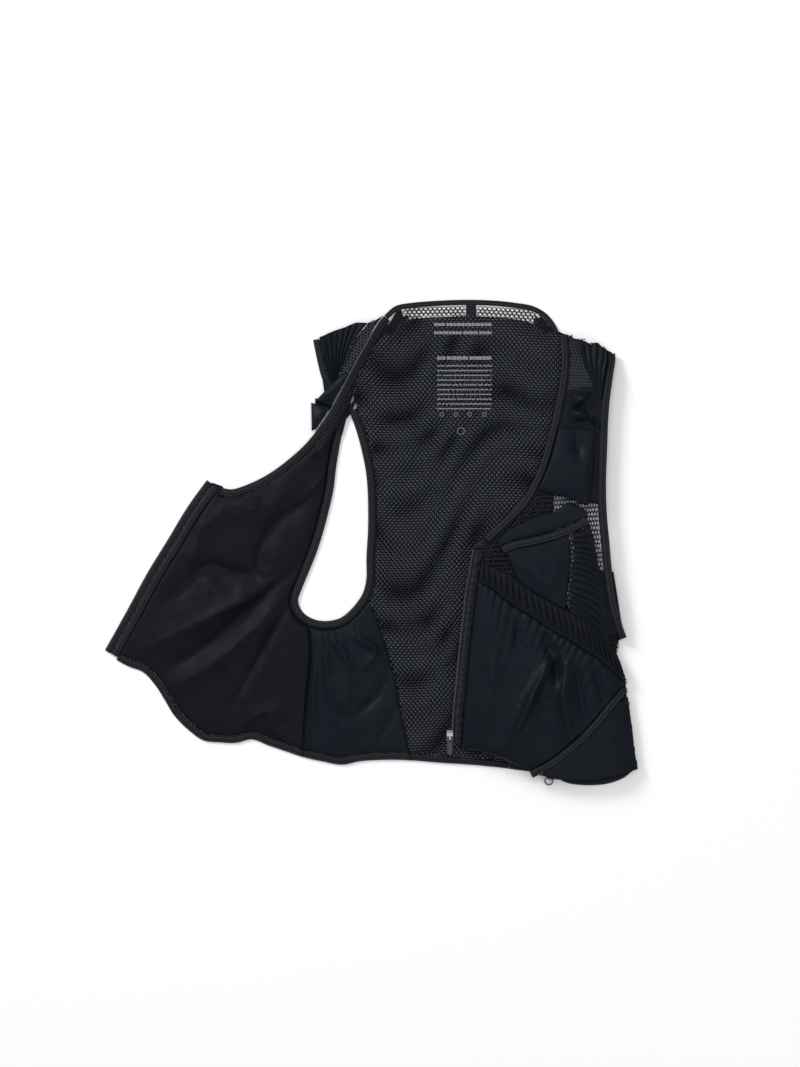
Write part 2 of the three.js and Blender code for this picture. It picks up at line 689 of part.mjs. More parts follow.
function sidePanels() {
  const left = {
    south: beside(lines.hem, inset.hem),
    west: beside(lines.sideSeam, -inset.seam),
    east: beside(lines.netBorder, inset.seam),
    north: backwards(beside(armholeLeft, inset.armhole)),
  };
  const folds = foldsOf(SIDE_FOLDS);
  const lie = (point, u, v) => Math.max(0, dome(u, v, 0.4) * (folds(point) + 0.5 * LINING_SWELL));
  piece("left_side_panel", sheet(panelGrid(left, 10, 11), lie, LINING_WALL), "lining");
  const right = {
    south: beside(lines.hem, inset.hem),
    west: beside(netBorderRight, -inset.seam),
    east: beside(lines.sideFold, 2 * SEAM_GAP),
    north: beside(armholeBackRight, -inset.armhole),
  };
  piece("right_side_panel", sheet(panelGrid(right, 7, 3), ground, LINING_WALL), "lining");
}

function hems() {
  const runs = [
    ["hem_left_front", beside(lines.zipLeft, -inset.zipLeft), beside(lines.sideSeam, inset.seam), 20],
    ["hem_left_side", beside(lines.sideSeam, -inset.seam), beside(lines.netBorder, inset.seam), 10],
    ["hem_back", beside(lines.netBorder, -inset.seam), beside(netBorderRight, inset.seam), 10],
    ["hem_right_side", beside(netBorderRight, -inset.seam), beside(lines.sideFold, 2 * SEAM_GAP), 12],
  ];
  runs.forEach(([name, west, east, steps]) => {
    const sides = { south: lines.hem, north: beside(lines.hem, HEM_BAND), west, east };
    piece(name, sheet(panelGrid(sides, steps, 1), ground, BAND_WALL), "binding");
  });
}

// Bindings round the neck and the armholes

function bindings() {
  const left = shortened(lines.neckLeft, SEAM_GAP, SEAM_GAP);
  piece("neck_binding_left", sheet(bandGrid(left, -NECK_BINDING, 26), neckRidge, BINDING_WALL), "binding");
  const middle = shortened(lines.neckBack, SEAM_GAP, SEAM_GAP);
  const middleBand = bandGrid(middle, -COLLAR_BINDING, 22);
  piece("neck_binding_back", sheet(middleBand, neckRidge, BINDING_WALL), "binding");
  const right = shortened(lines.neckRight, SEAM_GAP, SEAM_GAP);
  piece("neck_binding_right", sheet(bandGrid(right, NECK_BINDING, 22), frontLie, BINDING_WALL), "binding");
  const hole = bandGrid(armholeLeft, ARMHOLE_BINDING, 46);
  piece("armhole_binding_left", sheet(hole, ground, BINDING_WALL), "binding");
  const under = bandGrid(armholeBackRight, -ARMHOLE_BINDING, 18);
  piece("armhole_binding_right_back", sheet(under, ground, backTop), "binding");
  const front = bandGrid(lines.armholeRight, ARMHOLE_BINDING, 20);
  piece("armhole_binding_right_front", sheet(front, frontLie, BINDING_WALL), "binding");
}

// Left front, inside up

function leftFront() {
  const sides = {
    south: beside(lines.hem, inset.hem),
    west: beside(lines.zipLeft, -inset.zipLeft),
    north: beside(lines.neckLeft, -inset.neck),
    east: chain(
      beside(lines.sideSeam, inset.seam),
      beside(armholeLeft, inset.armhole),
      beside(lines.strapEdge, inset.seam),
    ),
  };
  const folds = foldsOf(LINING_FOLDS);
  const lie = (point, u, v) =>
    Math.max(0, dome(u, v, 0.35) * (folds(point) + LINING_SWELL)) + neckRidge(point);
  piece("left_front_lining", sheet(panelGrid(sides, 17, 17), lie, LINING_WALL), "lining");
  const outer = bandGrid(lines.zipLeft, -ZIP_BAND, 8);
  piece("left_zip_tape", sheet(outer, ground, BAND_WALL), "zip");
  const inner = bandGrid(beside(lines.zipLeft, -(ZIP_BAND + SEAM_GAP)), -ZIP_BAND, 8);
  piece("left_zip_facing", sheet(inner, ground, BAND_WALL), "binding");
}

// Left shoulder: the pleated yoke stands up to the neck edge, outside up

/** Height of the outside of the left shoulder: from the ground at the armhole up to the neck edge. */
function yokeLie(point) {
  const toNeck = nearestRise(point);
  const toArm = nearest(lines.yokeWest, point);
  const share = toArm.distance / (toArm.distance + toNeck.distance);
  return toNeck.rise * share ** 1.4;
}

function leftShoulder() {
  const rim = beside(lines.neckLeft, SEAM_GAP);
  const top = lines.yokeTop;
  const pleats = (u, v) => PLEAT_RELIEF * (1 + Math.sin(2 * Math.PI * (PLEATS * u + 1.2 * v))) * 0.5;
  const yoke = {
    south: lines.yokeBottom,
    west: beside(lines.yokeWest, -(YOKE_BAND + SEAM_GAP)),
    north: top,
    east: beside(lines.yokeSeam, inset.seam),
  };
  const yokeHeight = (point, u, v) => yokeLie(point) + pleats(u, v);
  piece("left_yoke", sheet(panelGrid(yoke, 18, 6), yokeHeight, LINING_WALL), "lining");
  const band = bandGrid(lines.yokeWest, -YOKE_BAND, 6);
  piece("left_yoke_band", sheet(band, yokeLie, BAND_WALL), "binding");
  const net = {
    south: smooth([[43.5, 84.8], [46.5, 85.0]]),
    west: beside(lines.yokeSeam, -inset.seam),
    north: top,
    east: rim,
  };
  piece("left_shoulder_net", sheet(panelGrid(net, 3, 8), yokeLie, NET_WALL), "net");
}

/** The grid of a four-sided patch with its corners clockwise from the lower left. */
function patchGrid(corners, steps) {
  const [southWest, northWest, northEast, southEast] = corners.map(place);
  const side = (a, b) => stations([a, b], 0, a.distanceTo(b), steps);
  return filledGrid(
    side(southWest, southEast),
    side(northWest, northEast),
    side(southWest, northWest),
    side(southEast, northEast),
  );
}

/** The crumpled parts of the flask sleeves, one small swollen panel for each row of the table. */
function sleeveLobes() {
  SLEEVE_LOBES.forEach(({ name, corners, base, swell }) => {
    const lie = (point, u, v) => base(point) + swell * FOLD_HEIGHT * dome(u, v, 0.8);
    piece(name, sheet(patchGrid(corners, 5), lie, POCKET_WALL), "pocket");
  });
}

// Right front, outside up, folded over the back

const rightWest = chain(
  beside(lines.zipRight, -inset.zipRight),
  beside(backwards(lines.neckRight), -inset.neck),
);
const rightEast = chain(
  beside(lines.sideFold, SEAM_GAP),
  beside(lines.armholeRight, ARMHOLE_BINDING + SEAM_GAP),
);

function rightFrontBase() {
  const sides = {
    south: beside(lines.frontBottom, SEAM_GAP),
    west: rightWest,
    east: rightEast,
    north: beside(lines.shoulderFold, -SEAM_GAP),
  };
  piece("right_front_net", sheet(panelGrid(sides, 9, 18), frontLie, NET_WALL), "net");
}

function rightShoulder() {
  const yoke = {
    south: smooth([[92.4, 79.7], [93.8, 79.2]]),
    west: smooth([[92.7, 79.4], [91.2, 83.3], [89.9, 87.0], [88.7, 91.5]]),
    north: beside(lines.shoulderFold, -SEAM_GAP),
    east: beside(lines.armholeRight, inset.armhole),
  };
  const pleats = (u, v) => PLEAT_RELIEF * (1 + Math.sin(2 * Math.PI * (0.6 * PLEATS * u - v))) * 0.5;
  const lie = (point, u, v) => onFront(point) + pleats(u, v) * v;
  piece("right_yoke", sheet(panelGrid(yoke, 11, 6), lie, LINING_WALL), "lining");
}

function flaskSleeve() {
  const sides = {
    south: smooth([[81.6, 60.8], [86.5, 59.1], [90.8, 57.4]]),
    west: beside(backwards(lines.neckRight), -inset.neck),
    east: smooth([[90.6, 57.4], [91.4, 62.8], [91.8, 67.9], [92.0, 73.2]]),
    north: smooth([[85.0, 73.7], [92.0, 73.1]]),
  };
  const folds = foldsOf(SLEEVE_FOLDS);
  const lie = (point, u, v) => onFront(point) + Math.max(0, dome(u, v) * (0.5 * POCKET_SWELL + folds(point)));
  piece("right_flask_sleeve", sheet(panelGrid(sides, 6, 8), lie, POCKET_WALL), "pocket");
}

function upperPocket() {
  const trimLow = beside(lines.upperPocketTrim, -POCKET_TRIM);
  const top = {
    south: beside(lines.upperPocketTrim, SEAM_GAP),
    west: smooth([[74.0, 49.0], [73.7, 50.4]]),
    north: lines.upperPocketTop,
    east: smooth([[90.4, 55.0], [90.4, 56.6]]),
  };
  piece("upper_pocket_top", sheet(panelGrid(top, 8, 2), onFront, POCKET_WALL), "pocket");
  const trim = bandGrid(lines.upperPocketTrim, -POCKET_TRIM, 8);
  piece("upper_pocket_trim", sheet(trim, onFront, BAND_WALL), "binding");
  const body = {
    south: beside(lines.gatherTop, SEAM_GAP),
    west: lines.upperPocketWest,
    east: lines.upperPocketEast,
    north: beside(trimLow, -SEAM_GAP),
  };
  const lie = (point, u, v) => onFront(point) + 0.4 * POCKET_SWELL * dome(u, v);
  piece("upper_pocket", sheet(panelGrid(body, 6, 6), lie, POCKET_WALL), "pocket");
}

function shirredPanel() {
  const sides = {
    south: beside(lines.gatherTop, SEAM_GAP),
    west: lines.shirredWest,
    east: lines.shirredEast,
    north: beside(beside(lines.upperPocketTrim, -POCKET_TRIM), -SEAM_GAP),
  };
  const ribs = (v) => RIB_RELIEF * (1 - Math.cos(2 * Math.PI * RIBS * v)) * 0.5;
  const lie = (point, u, v) => onFront(point) + ribs(v) * (0.5 + 0.5 * dome(u, 0.5));
  piece("shirred_side_panel", sheet(panelGrid(sides, 3, 3 * RIBS), lie, POCKET_WALL), "pocket");
}

function gatheredBand() {
  const sides = {
    south: lines.gatherStitch,
    west: beside(lines.zipRight, -inset.zipRight),
    east: beside(lines.sideFold, 2 * SEAM_GAP),
    north: lines.gatherTop,
  };
  const waves = (u) => GATHER_RELIEF * (1 - Math.cos(2 * Math.PI * GATHERS * u)) * 0.5;
  const lie = (point, u, v) => onFront(point) + waves(u) * (0.35 + 0.65 * dome(0.5, v));
  piece("gathered_band", sheet(panelGrid(sides, 3 * GATHERS, 2), lie, BAND_WALL), "pocket");
}

function mainPocket() {
  const sides = {
    south: lines.frontBottom,
    west: beside(lines.zipRight, -inset.zipRight),
    east: beside(lines.diagonal, SEAM_GAP),
    north: beside(lines.gatherStitch, -SEAM_GAP),
  };
  const folds = foldsOf(POCKET_FOLDS);
  const ripple = (u, v) => 1 + Math.cos(2 * Math.PI * 6 * u);
  const lie = (point, u, v) => {
    const bulge = POCKET_SWELL + folds(point) + ripple(u, v) * v ** 4;
    return onFront(point) + Math.max(0, bulge * dome(u, v, 0.35));
  };
  piece("main_pocket", sheet(panelGrid(sides, 17, 13), lie, POCKET_WALL), "pocket");
  const tape = bandGrid(lines.diagonal, -DIAGONAL_TAPE, 10);
  piece("diagonal_binding", sheet(tape, onFront, BAND_WALL), "binding");
  const side = {
    south: lines.frontBottom,
    west: beside(lines.diagonal, -(DIAGONAL_TAPE + SEAM_GAP)),
    east: lines.sideFold,
    north: smooth([[96.3, 17.0], [99.2, 18.9]]),
  };
  piece("right_front_side", sheet(panelGrid(side, 7, 9), onFront, LINING_WALL), "lining");
}

// Zip on the folded front

const solids = await Module();
solids.setup();

/** A faceted solid ready to be joined, from a geometry of three.js. */
function solidOf(geometry) {
  const bare = geometry.clone();
  bare.deleteAttribute("normal");
  bare.deleteAttribute("uv");
  const merged = mergeVertices(bare, 1e-4);
  const numProp = 3;
  const vertProperties = new Float32Array(merged.attributes.position.array);
  const triVerts = new Uint32Array(merged.index.array);
  return new solids.Manifold(new solids.Mesh({ numProp, vertProperties, triVerts }));
}

/** The geometry of three.js for a faceted solid. */
function geometryOf(solid) {
  const { vertProperties, triVerts } = solid.getMesh();
  const geometry = new THREE.BufferGeometry();
  geometry.setAttribute("position", new THREE.BufferAttribute(vertProperties, 3));
  geometry.setIndex(new THREE.BufferAttribute(triVerts, 1));
  geometry.computeVertexNormals();
  return geometry;
}

/** A flat outline with holes, given by corners, thickened evenly to both sides of its plane. */
function plate(outline, holes, wall) {
  const shape = new THREE.Shape(outline.map(([x, y]) => new THREE.Vector2(x, y)));
  holes.forEach((hole) => shape.holes.push(new THREE.Path(hole.map(([x, y]) => new THREE.Vector2(x, y)))));
  const geometry = new THREE.ExtrudeGeometry(shape, { depth: wall, bevelEnabled: false });
  return geometry.translate(0, 0, -wall / 2);
}

/** Stands a plate up so that its first axis runs along the zip and its second one upwards. */
function standing(geometry) {
  return geometry.rotateX(Math.PI / 2).rotateZ(Math.PI / 2);
}

function zip() {
  const coilLine = shortened(lines.zipRight, SLIDER_START + SLIDER_LENGTH + SEAM_GAP, 0);
  piece("zip_coil", sheet(bandGrid(coilLine, -COIL_WIDTH, 12), frontLie, BAND_WALL), "zip");
  const tape = bandGrid(beside(lines.zipRight, -(COIL_WIDTH + SEAM_GAP)), -ZIP_TAPE, 12);
  piece("zip_tape", sheet(tape, frontLie, LINING_WALL), "zip");
  const garage = (point, u, v) => frontLie(point) + 0.15 * FOLD_HEIGHT * dome(u, v);
  piece("zip_garage", sheet(patchGrid(GARAGE_CORNERS, 3), garage, POCKET_WALL), "binding");
}

/** Slider with its bridge: a wedge along the zip under a narrow arch. */
function slider() {
  const wedge = plate(
    [
      [0, 0], [SLIDER_LENGTH, 0], [SLIDER_LENGTH, SLIDER_NOSE],
      [SLIDER_LENGTH - 2, SLIDER_HEIGHT], [SLIDER_SLOPE, SLIDER_HEIGHT], [0, SLIDER_NOSE],
    ],
    [],
    SLIDER_WIDTH,
  );
  const inside = [BRIDGE_START + BRIDGE_BAR, BRIDGE_END - BRIDGE_BAR];
  const roof = BRIDGE_HEIGHT - BRIDGE_BAR;
  const arch = plate(
    [
      [BRIDGE_START, 0.3], [BRIDGE_END, 0.3], [BRIDGE_END, roof], [BRIDGE_END - 1, BRIDGE_HEIGHT],
      [BRIDGE_START + 1, BRIDGE_HEIGHT], [BRIDGE_START, roof],
    ],
    [[[inside[0], 1], [inside[0], roof], [inside[1], roof], [inside[1], 1]]],
    BRIDGE_WIDTH,
  );
  const joined = solidOf(standing(wedge)).add(solidOf(standing(arch)));
  const start = pointAt(lines.zipRight, distancesOf(lines.zipRight), SLIDER_START);
  const mesh = piece("zip_slider", geometryOf(joined), "slider");
  mesh.position.set(start.x - 1, start.y, FRONT_LEVEL);
  return mesh.position;
}

/** Pull: a flat tab whose end bar turns under the bridge of the slider. */
function pull(origin) {
  const half = PULL_WIDTH / 2;
  const bar = PULL_BAR / 2;
  const eye = PULL_EYE_WIDTH / 2;
  const tab = plate(
    [
      [-half, bar], [-half, 2 - PULL_LENGTH], [-half + 1.2, -PULL_LENGTH],
      [half - 1.2, -PULL_LENGTH], [half, 2 - PULL_LENGTH], [half, bar],
    ],
    [[[-eye, -bar], [eye, -bar], [eye, -bar - PULL_EYE], [-eye, -bar - PULL_EYE]]],
    PULL_WALL,
  );
  const mesh = piece("zip_pull", tab, "pull");
  mesh.rotation.x = THREE.MathUtils.degToRad(PULL_DROOP);
  mesh.position.copy(origin).add(new THREE.Vector3(0, PIVOT_ALONG, PIVOT_HEIGHT));
}

/** Drop ring at the hem and the short loop that holds it. */
function hemRing() {
  const centre = place(RING_PLACE);
  const loopRadius = RING_WIRE + LOOP_CLEARANCE + LOOP_WALL;
  const hanging = centre.y + RING_RADIUS;
  const circle = (radius) =>
    Array.from({ length: 14 }, (_, k) => {
      const turn = (2 * Math.PI * k) / 14;
      return [radius * Math.cos(turn), radius * Math.sin(turn)];
    });
  const loop = standing(plate(circle(loopRadius), [circle(RING_WIRE + LOOP_CLEARANCE)], LOOP_WIDTH));
  piece("hem_ring_loop", loop, "binding").position.set(centre.x, hanging, loopRadius);
  const ring = geometryOf(solidOf(new THREE.TorusGeometry(RING_RADIUS, RING_WIRE, 6, 20)));
  const mesh = piece("hem_ring", ring.translate(0, -RING_RADIUS, 0), "ring");
  mesh.rotation.x = Math.asin((loopRadius - RING_WIRE) / (2 * RING_RADIUS));
  mesh.position.set(centre.x, hanging, loopRadius);
}

// Puts the lowest place on the ground and the origin under the middle
function settle() {
  vest.updateMatrixWorld(true);
  const box = new THREE.Box3().setFromObject(laid, true);
  const middle = box.getCenter(new THREE.Vector3());
  laid.position.set(-middle.x, -middle.y, -box.min.z);
  vest.updateMatrixWorld(true);
}

back();
collar();
sidePanels();
hems();
bindings();
leftFront();
leftShoulder();
sleeveLobes();
rightFrontBase();
rightShoulder();
flaskSleeve();
upperPocket();
shirredPanel();
gatheredBand();
mainPocket();
zip();
pull(slider());
hemRing();
settle();

export default vest;
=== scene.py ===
# %% [markdown]
# # A running hydration vest, laid out flat
# The vest lies on its back with its inside up. One front is swung open to the left and shows its
# lining. The other front is folded over the back and shows its pockets, gathers and zip.
# Almost everything here is thin cloth, so almost every piece is one recipe: draw the piece's four
# edges as smooth lines, fill them with a grid, lift the grid by a height function, and give it a wall.

import math

import bpy
import numpy as np
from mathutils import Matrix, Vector


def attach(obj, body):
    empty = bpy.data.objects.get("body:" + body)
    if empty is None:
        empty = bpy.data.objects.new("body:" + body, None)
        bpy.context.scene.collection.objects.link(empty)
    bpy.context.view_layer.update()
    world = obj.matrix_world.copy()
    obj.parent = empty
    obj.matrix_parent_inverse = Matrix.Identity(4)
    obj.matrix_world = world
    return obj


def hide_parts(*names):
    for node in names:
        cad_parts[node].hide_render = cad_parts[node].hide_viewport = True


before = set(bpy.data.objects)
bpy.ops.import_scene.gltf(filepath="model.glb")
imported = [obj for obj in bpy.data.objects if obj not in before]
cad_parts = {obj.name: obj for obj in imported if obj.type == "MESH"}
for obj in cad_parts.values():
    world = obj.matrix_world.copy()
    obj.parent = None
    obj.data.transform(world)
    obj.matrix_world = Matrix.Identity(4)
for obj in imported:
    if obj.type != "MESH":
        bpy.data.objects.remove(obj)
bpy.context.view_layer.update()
print("frame loaded,", len(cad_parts), "nodes")

# %% [markdown]
# ## Driving sizes
# All lengths are in metres. Places on the laid out vest are written as shares: how far across and
# how far along it they lie, in percent of its width and length. That keeps the tables readable, and
# the whole vest can be resized by two numbers.

# %% Sizes
WIDTH = 0.480
LENGTH = 0.437
PLAN_SHIFT = np.array([-0.240518, -0.218119])
MM = 0.001

NET_WALL = 1.1 * MM
LINING_WALL = 1.4 * MM
POCKET_WALL = 1.5 * MM
BINDING_WALL = 2.6 * MM
BAND_WALL = 2.2 * MM
NECK_BINDING = 7.2 * MM
COLLAR_BINDING = 4.6 * MM
COLLAR_DEPTH = 9.6 * MM
ARMHOLE_BINDING = 7.6 * MM
ZIP_BAND = 6.4 * MM
HEM_BAND = 6 * MM
POCKET_TRIM = 7.5 * MM
DIAGONAL_TAPE = 7.2 * MM
ZIP_TAPE = 7.5 * MM
YOKE_BAND = 5.6 * MM
COIL_WIDTH = 2 * MM
SEAM = 0.3 * MM
SEAM_TAPE = 4 * MM
SEAM_TAPE_WALL = 0.5 * MM
SEAM_TAPE_LIFT = 0.2 * MM
RIM_WIDTH = 1.3 * MM
RIM_WALL = 1.2 * MM
RIM_LIFT = 1.6 * MM
LOWER_NET_LIFT = 1.0 * MM
UPPER_NET_LIFT = 1.9 * MM
COLLAR_NET_LIFT = 0.6 * MM
PRINT_LIFT = 2.55 * MM
BACKING_WALL = 0.4 * MM
BACKING_LIFT = 0.45 * MM
FACING_WALL = 0.8 * MM
LAYER_GAP = 0.5 * MM
FRONT_GAP = 0.8 * MM
FRONT_LEVEL = 9.8 * MM
FOLD_LEVEL = 2 * NET_WALL + 2 * LAYER_GAP
FRONT_REACH = 26 * MM
FOLD_HEIGHT = 9 * MM
LINING_SWELL = 4.5 * MM
POCKET_SWELL = 6 * MM
SHOULDER_RISE = 10 * MM
RIDGE_REACH = 14 * MM
RIDGE_TAIL = 0.03
CLOTH_CELL = 1.9 * MM

# %% [markdown]
# ## The plan lines
# Every seam, edge and binding follows one of these lines. Each row is [across, along] in percent.
# Lines that two pieces share are written once, so a seam can't open when a line is changed.

# %% Lines of the laid out vest
CENTRE_ACROSS = 66.9
LINES = {
    "neck_left": [
        [22.1, 61.2], [24.0, 60.9], [27.4, 62.1], [31.1, 64.2], [34.8, 67.2], [38.3, 70.8],
        [41.5, 75.5], [44.3, 80.9], [46.2, 85.0], [49.0, 90.5], [51.2, 94.7], [52.5, 96.6],
    ],
    "neck_back": [
        [52.5, 96.6], [54.6, 98.6], [57.8, 99.3], [62.1, 99.7], [66.8, 99.9], [72.4, 99.8],
        [77.1, 99.3], [80.5, 98.6], [82.9, 97.1], [84.5, 95.0], [85.3, 93.2],
    ],
    "neck_right": [
        [85.4, 92.7], [85.6, 89.5], [85.6, 86.2], [85.2, 82.3], [84.4, 77.6], [83.1, 71.6],
        [81.8, 66.5], [79.9, 61.7], [77.7, 58.0], [74.3, 54.3], [71.1, 51.0],
    ],
    "armhole_back": [
        [40.0, 89.8], [41.3, 86.6], [43.5, 81.7], [46.0, 77.0], [47.3, 73.0], [48.4, 68.5],
        [49.2, 63.8], [49.5, 58.6], [49.5, 52.5], [49.2, 46.7], [49.2, 42.6], [48.6, 39.7],
        [47.5, 37.7], [46.0, 35.8], [44.3, 34.4],
    ],
    "armhole_front": [
        [42.0, 33.8], [39.8, 34.0], [37.9, 35.0], [36.8, 36.4], [36.4, 38.1], [37.0, 40.1],
        [38.3, 43.6], [39.8, 47.7], [40.9, 51.4], [42.0, 55.8], [43.0, 60.7], [43.5, 65.2],
        [44.1, 69.3], [44.7, 72.6], [45.1, 74.5],
    ],
    "armhole_right": [
        [97.9, 30.5], [97.2, 32.5], [96.4, 35.6], [95.7, 39.1], [95.1, 44.2], [94.6, 50.4],
        [94.1, 56.6], [94.0, 62.8], [94.2, 68.9], [94.4, 75.1], [94.7, 79.2], [95.1, 82.5],
        [95.5, 85.4], [95.8, 87.2], [95.8, 88.8],
    ],
    "zip_left": [
        [0.2, 27.8], [2.4, 32.1], [4.9, 37.1], [8.2, 43.8], [12.0, 50.6], [15.8, 57.5], [19.3, 62.8],
    ],
    "zip_right": [
        [65.0, 8.8], [65.3, 15.0], [65.9, 21.6], [66.4, 27.8], [67.1, 34.4], [67.7, 40.1],
        [68.4, 44.6], [69.0, 48.6],
    ],
    "hem": [
        [1.5, 26.3], [4.5, 24.5], [7.3, 23.3], [9.6, 20.6], [11.4, 17.5], [13.2, 14.3], [15.9, 11.3],
        [18.7, 9.2], [21.8, 8.8], [24.8, 8.7], [27.8, 9.4], [30.8, 8.2], [34.0, 7.0], [37.3, 5.8],
        [40.9, 4.9], [44.7, 4.2], [48.0, 4.9], [52.7, 5.2], [57.4, 5.1], [63.0, 4.6], [68.7, 4.2],
        [74.3, 3.6], [79.0, 2.9], [82.3, 2.55], [84.4, 1.9], [86.0, 0.8], [88.4, 0.1], [94.0, 0.2],
        [97.3, 1.4], [99.0, 2.8],
    ],
    "side_seam": [
        [37.3, 5.8], [37.5, 10.3], [37.9, 16.5], [38.5, 22.6], [38.8, 27.8], [38.5, 32.3],
    ],
    "net_border": [
        [57.6, 5.1], [56.7, 10.3], [55.7, 15.4], [55.0, 20.0], [53.8, 25.1], [52.5, 30.2],
        [51.2, 34.2], [50.1, 37.2],
    ],
    "strap_edge": [[43.6, 75.4], [45.2, 76.2], [46.2, 78.4], [46.9, 80.9], [48.2, 85.4], [49.9, 90.1]],
    "shoulder_fold": [
        [85.4, 92.9], [86.7, 92.6], [88.0, 92.15], [89.3, 91.65], [90.5, 91.15], [91.15, 90.7],
        [91.75, 91.0], [92.5, 91.0], [93.2, 90.3], [94.4, 89.6], [95.3, 89.1], [96.1, 88.6],
    ],
    "side_fold": [
        [100, 3.5], [99.4, 7.2], [99.1, 10.3], [98.6, 14.4], [98.1, 18.5], [97.8, 21.6],
        [96.9, 25.1], [96.2, 27.4], [96.6, 29.6],
    ],
    "front_bottom": [
        [65.1, 8.0], [68.7, 7.6], [71.5, 6.8], [74.3, 5.7], [77.1, 4.5], [79.9, 3.3], [82.7, 1.9],
        [86.5, 1.2], [91.2, 1.2], [95.9, 2.1], [100, 3.4],
    ],
    "gather_top": [
        [70.0, 47.2], [72.4, 44.9], [75.2, 43.6], [77.7, 41.6], [80.3, 39.7], [83.1, 37.9],
        [85.7, 36.4], [88.6, 34.8], [91.2, 32.7], [93.2, 30.2], [95.5, 27.6],
    ],
    "gather_stitch": [
        [69.8, 42.2], [72.4, 40.7], [74.9, 38.5], [77.3, 36.6], [79.5, 35.2], [82.0, 33.3],
        [84.6, 31.5], [87.4, 29.8], [90.2, 27.8], [93.1, 25.7], [95.1, 23.7],
    ],
    "diagonal": [
        [79.6, 3.1], [83.3, 5.3], [86.5, 8.0], [89.3, 10.7], [92.1, 14.0], [94.7, 17.5], [97.0, 20.4],
    ],
    "upper_pocket_top": [
        [73.7, 50.2], [76.2, 52.5], [79.0, 54.3], [81.8, 55.6], [84.6, 56.4], [87.1, 58.2],
        [90.4, 56.4],
    ],
    "upper_pocket_trim": [
        [74.3, 49.2], [76.5, 50.2], [79.9, 51.0], [83.3, 51.9], [86.7, 53.3], [90.4, 55.1],
    ],
    "upper_pocket_west": [[78.2, 41.2], [77.1, 43.2], [75.6, 47.2]],
    "upper_pocket_east": [[86.3, 36.2], [87.1, 43.2], [87.4, 47.9], [86.9, 52.0]],
    "shirred_west": [[87.1, 35.8], [87.6, 43.2], [88.0, 47.9], [87.6, 52.3]],
    "shirred_east": [[94.5, 29.0], [94.0, 36.0], [93.4, 40.1], [92.7, 44.2], [92.1, 48.4], [91.2, 52.9]],
    "yoke_top": [
        [39.2, 91.6], [40.9, 92.4], [43.0, 93.4], [45.2, 94.2], [47.3, 95.1], [49.5, 95.1],
        [50.8, 95.6], [52.0, 96.4],
    ],
    "yoke_west": [[41.2, 82.6], [40.5, 85.0], [39.8, 88.3], [39.2, 91.6]],
    "yoke_seam": [[42.0, 81.3], [43.9, 84.0], [45.0, 86.8], [46.2, 89.9], [47.7, 92.6], [49.5, 95.0]],
    "yoke_bottom": [[42.3, 82.9], [43.6, 84.2]],
}
print(len(LINES), "lines")

# %% [markdown]
# ## Working with lines
# A line is an array of plan points. Four small tools are enough for the whole vest: smooth a table
# of places, move a line sideways, cut one line with another, and join several into one edge.

# %% Line tools
STEPS_PER_KNOT = 8
EXTENSION = 0.04


def place(rows):
    """Plan points in metres: each share times the vest's width or length, plus the plan's shift."""
    return np.asarray(rows, float) / 100 * (WIDTH, LENGTH) + PLAN_SHIFT


def smooth(rows, steps=STEPS_PER_KNOT):
    """Centripetal Catmull-Rom curve: cubics through the knots, timed by the root of the chord."""
    knots = place(rows)
    knots = np.vstack([2 * knots[0] - knots[1], knots, 2 * knots[-1] - knots[-2]])
    chord = np.sqrt(np.linalg.norm(np.diff(knots, axis=0), axis=1))[:, None]
    c0, c1, c2 = chord[:-2], chord[1:-1], chord[2:]
    p0, p1, p2, p3 = knots[:-3], knots[1:-2], knots[2:-1], knots[3:]
    m1 = ((p1 - p0) / c0 - (p2 - p0) / (c0 + c1) + (p2 - p1) / c1) * c1
    m2 = ((p2 - p1) / c1 - (p3 - p1) / (c1 + c2) + (p3 - p2) / c2) * c1
    t = (np.arange(steps) / steps)[None, :, None]
    bend = p1[:, None] * (2 * t**3 - 3 * t**2 + 1) + m1[:, None] * (t**3 - 2 * t**2 + t)
    bend = bend + p2[:, None] * (3 * t**2 - 2 * t**3) + m2[:, None] * (t**3 - t**2)
    return np.vstack([bend.reshape(-1, 2), p2[-1:]])


def mirrored(rows):
    """The same places on the other side of the back's centre line."""
    return [[2 * CENTRE_ACROSS - across, along] for across, along in rows]


def beside(line, distance):
    """The line moved to the left of its travel by the distance, to the right if it is negative."""
    ahead = np.vstack([line[1:], line[-1:]]) - np.vstack([line[:1], line[:-1]])
    ahead = ahead / np.linalg.norm(ahead, axis=1)[:, None]
    return line + distance * np.column_stack([-ahead[:, 1], ahead[:, 0]])


def extended(line):
    """The line carried straight on past both ends."""
    first = line[0] - line[1]
    last = line[-1] - line[-2]
    first = line[0] + first * EXTENSION / np.linalg.norm(first)
    last = line[-1] + last * EXTENSION / np.linalg.norm(last)
    return np.vstack([first, line, last])


def travelled(line):
    """How far along the line each of its points lies."""
    return np.concatenate([[0], np.cumsum(np.linalg.norm(np.diff(line, axis=0), axis=1))])


def stretch(line, start, end, count):
    """Evenly spaced points between two distances along the line."""
    far = travelled(line)
    where = np.linspace(start, end, count)
    return np.column_stack([np.interp(where, far, line[:, k]) for k in range(2)])


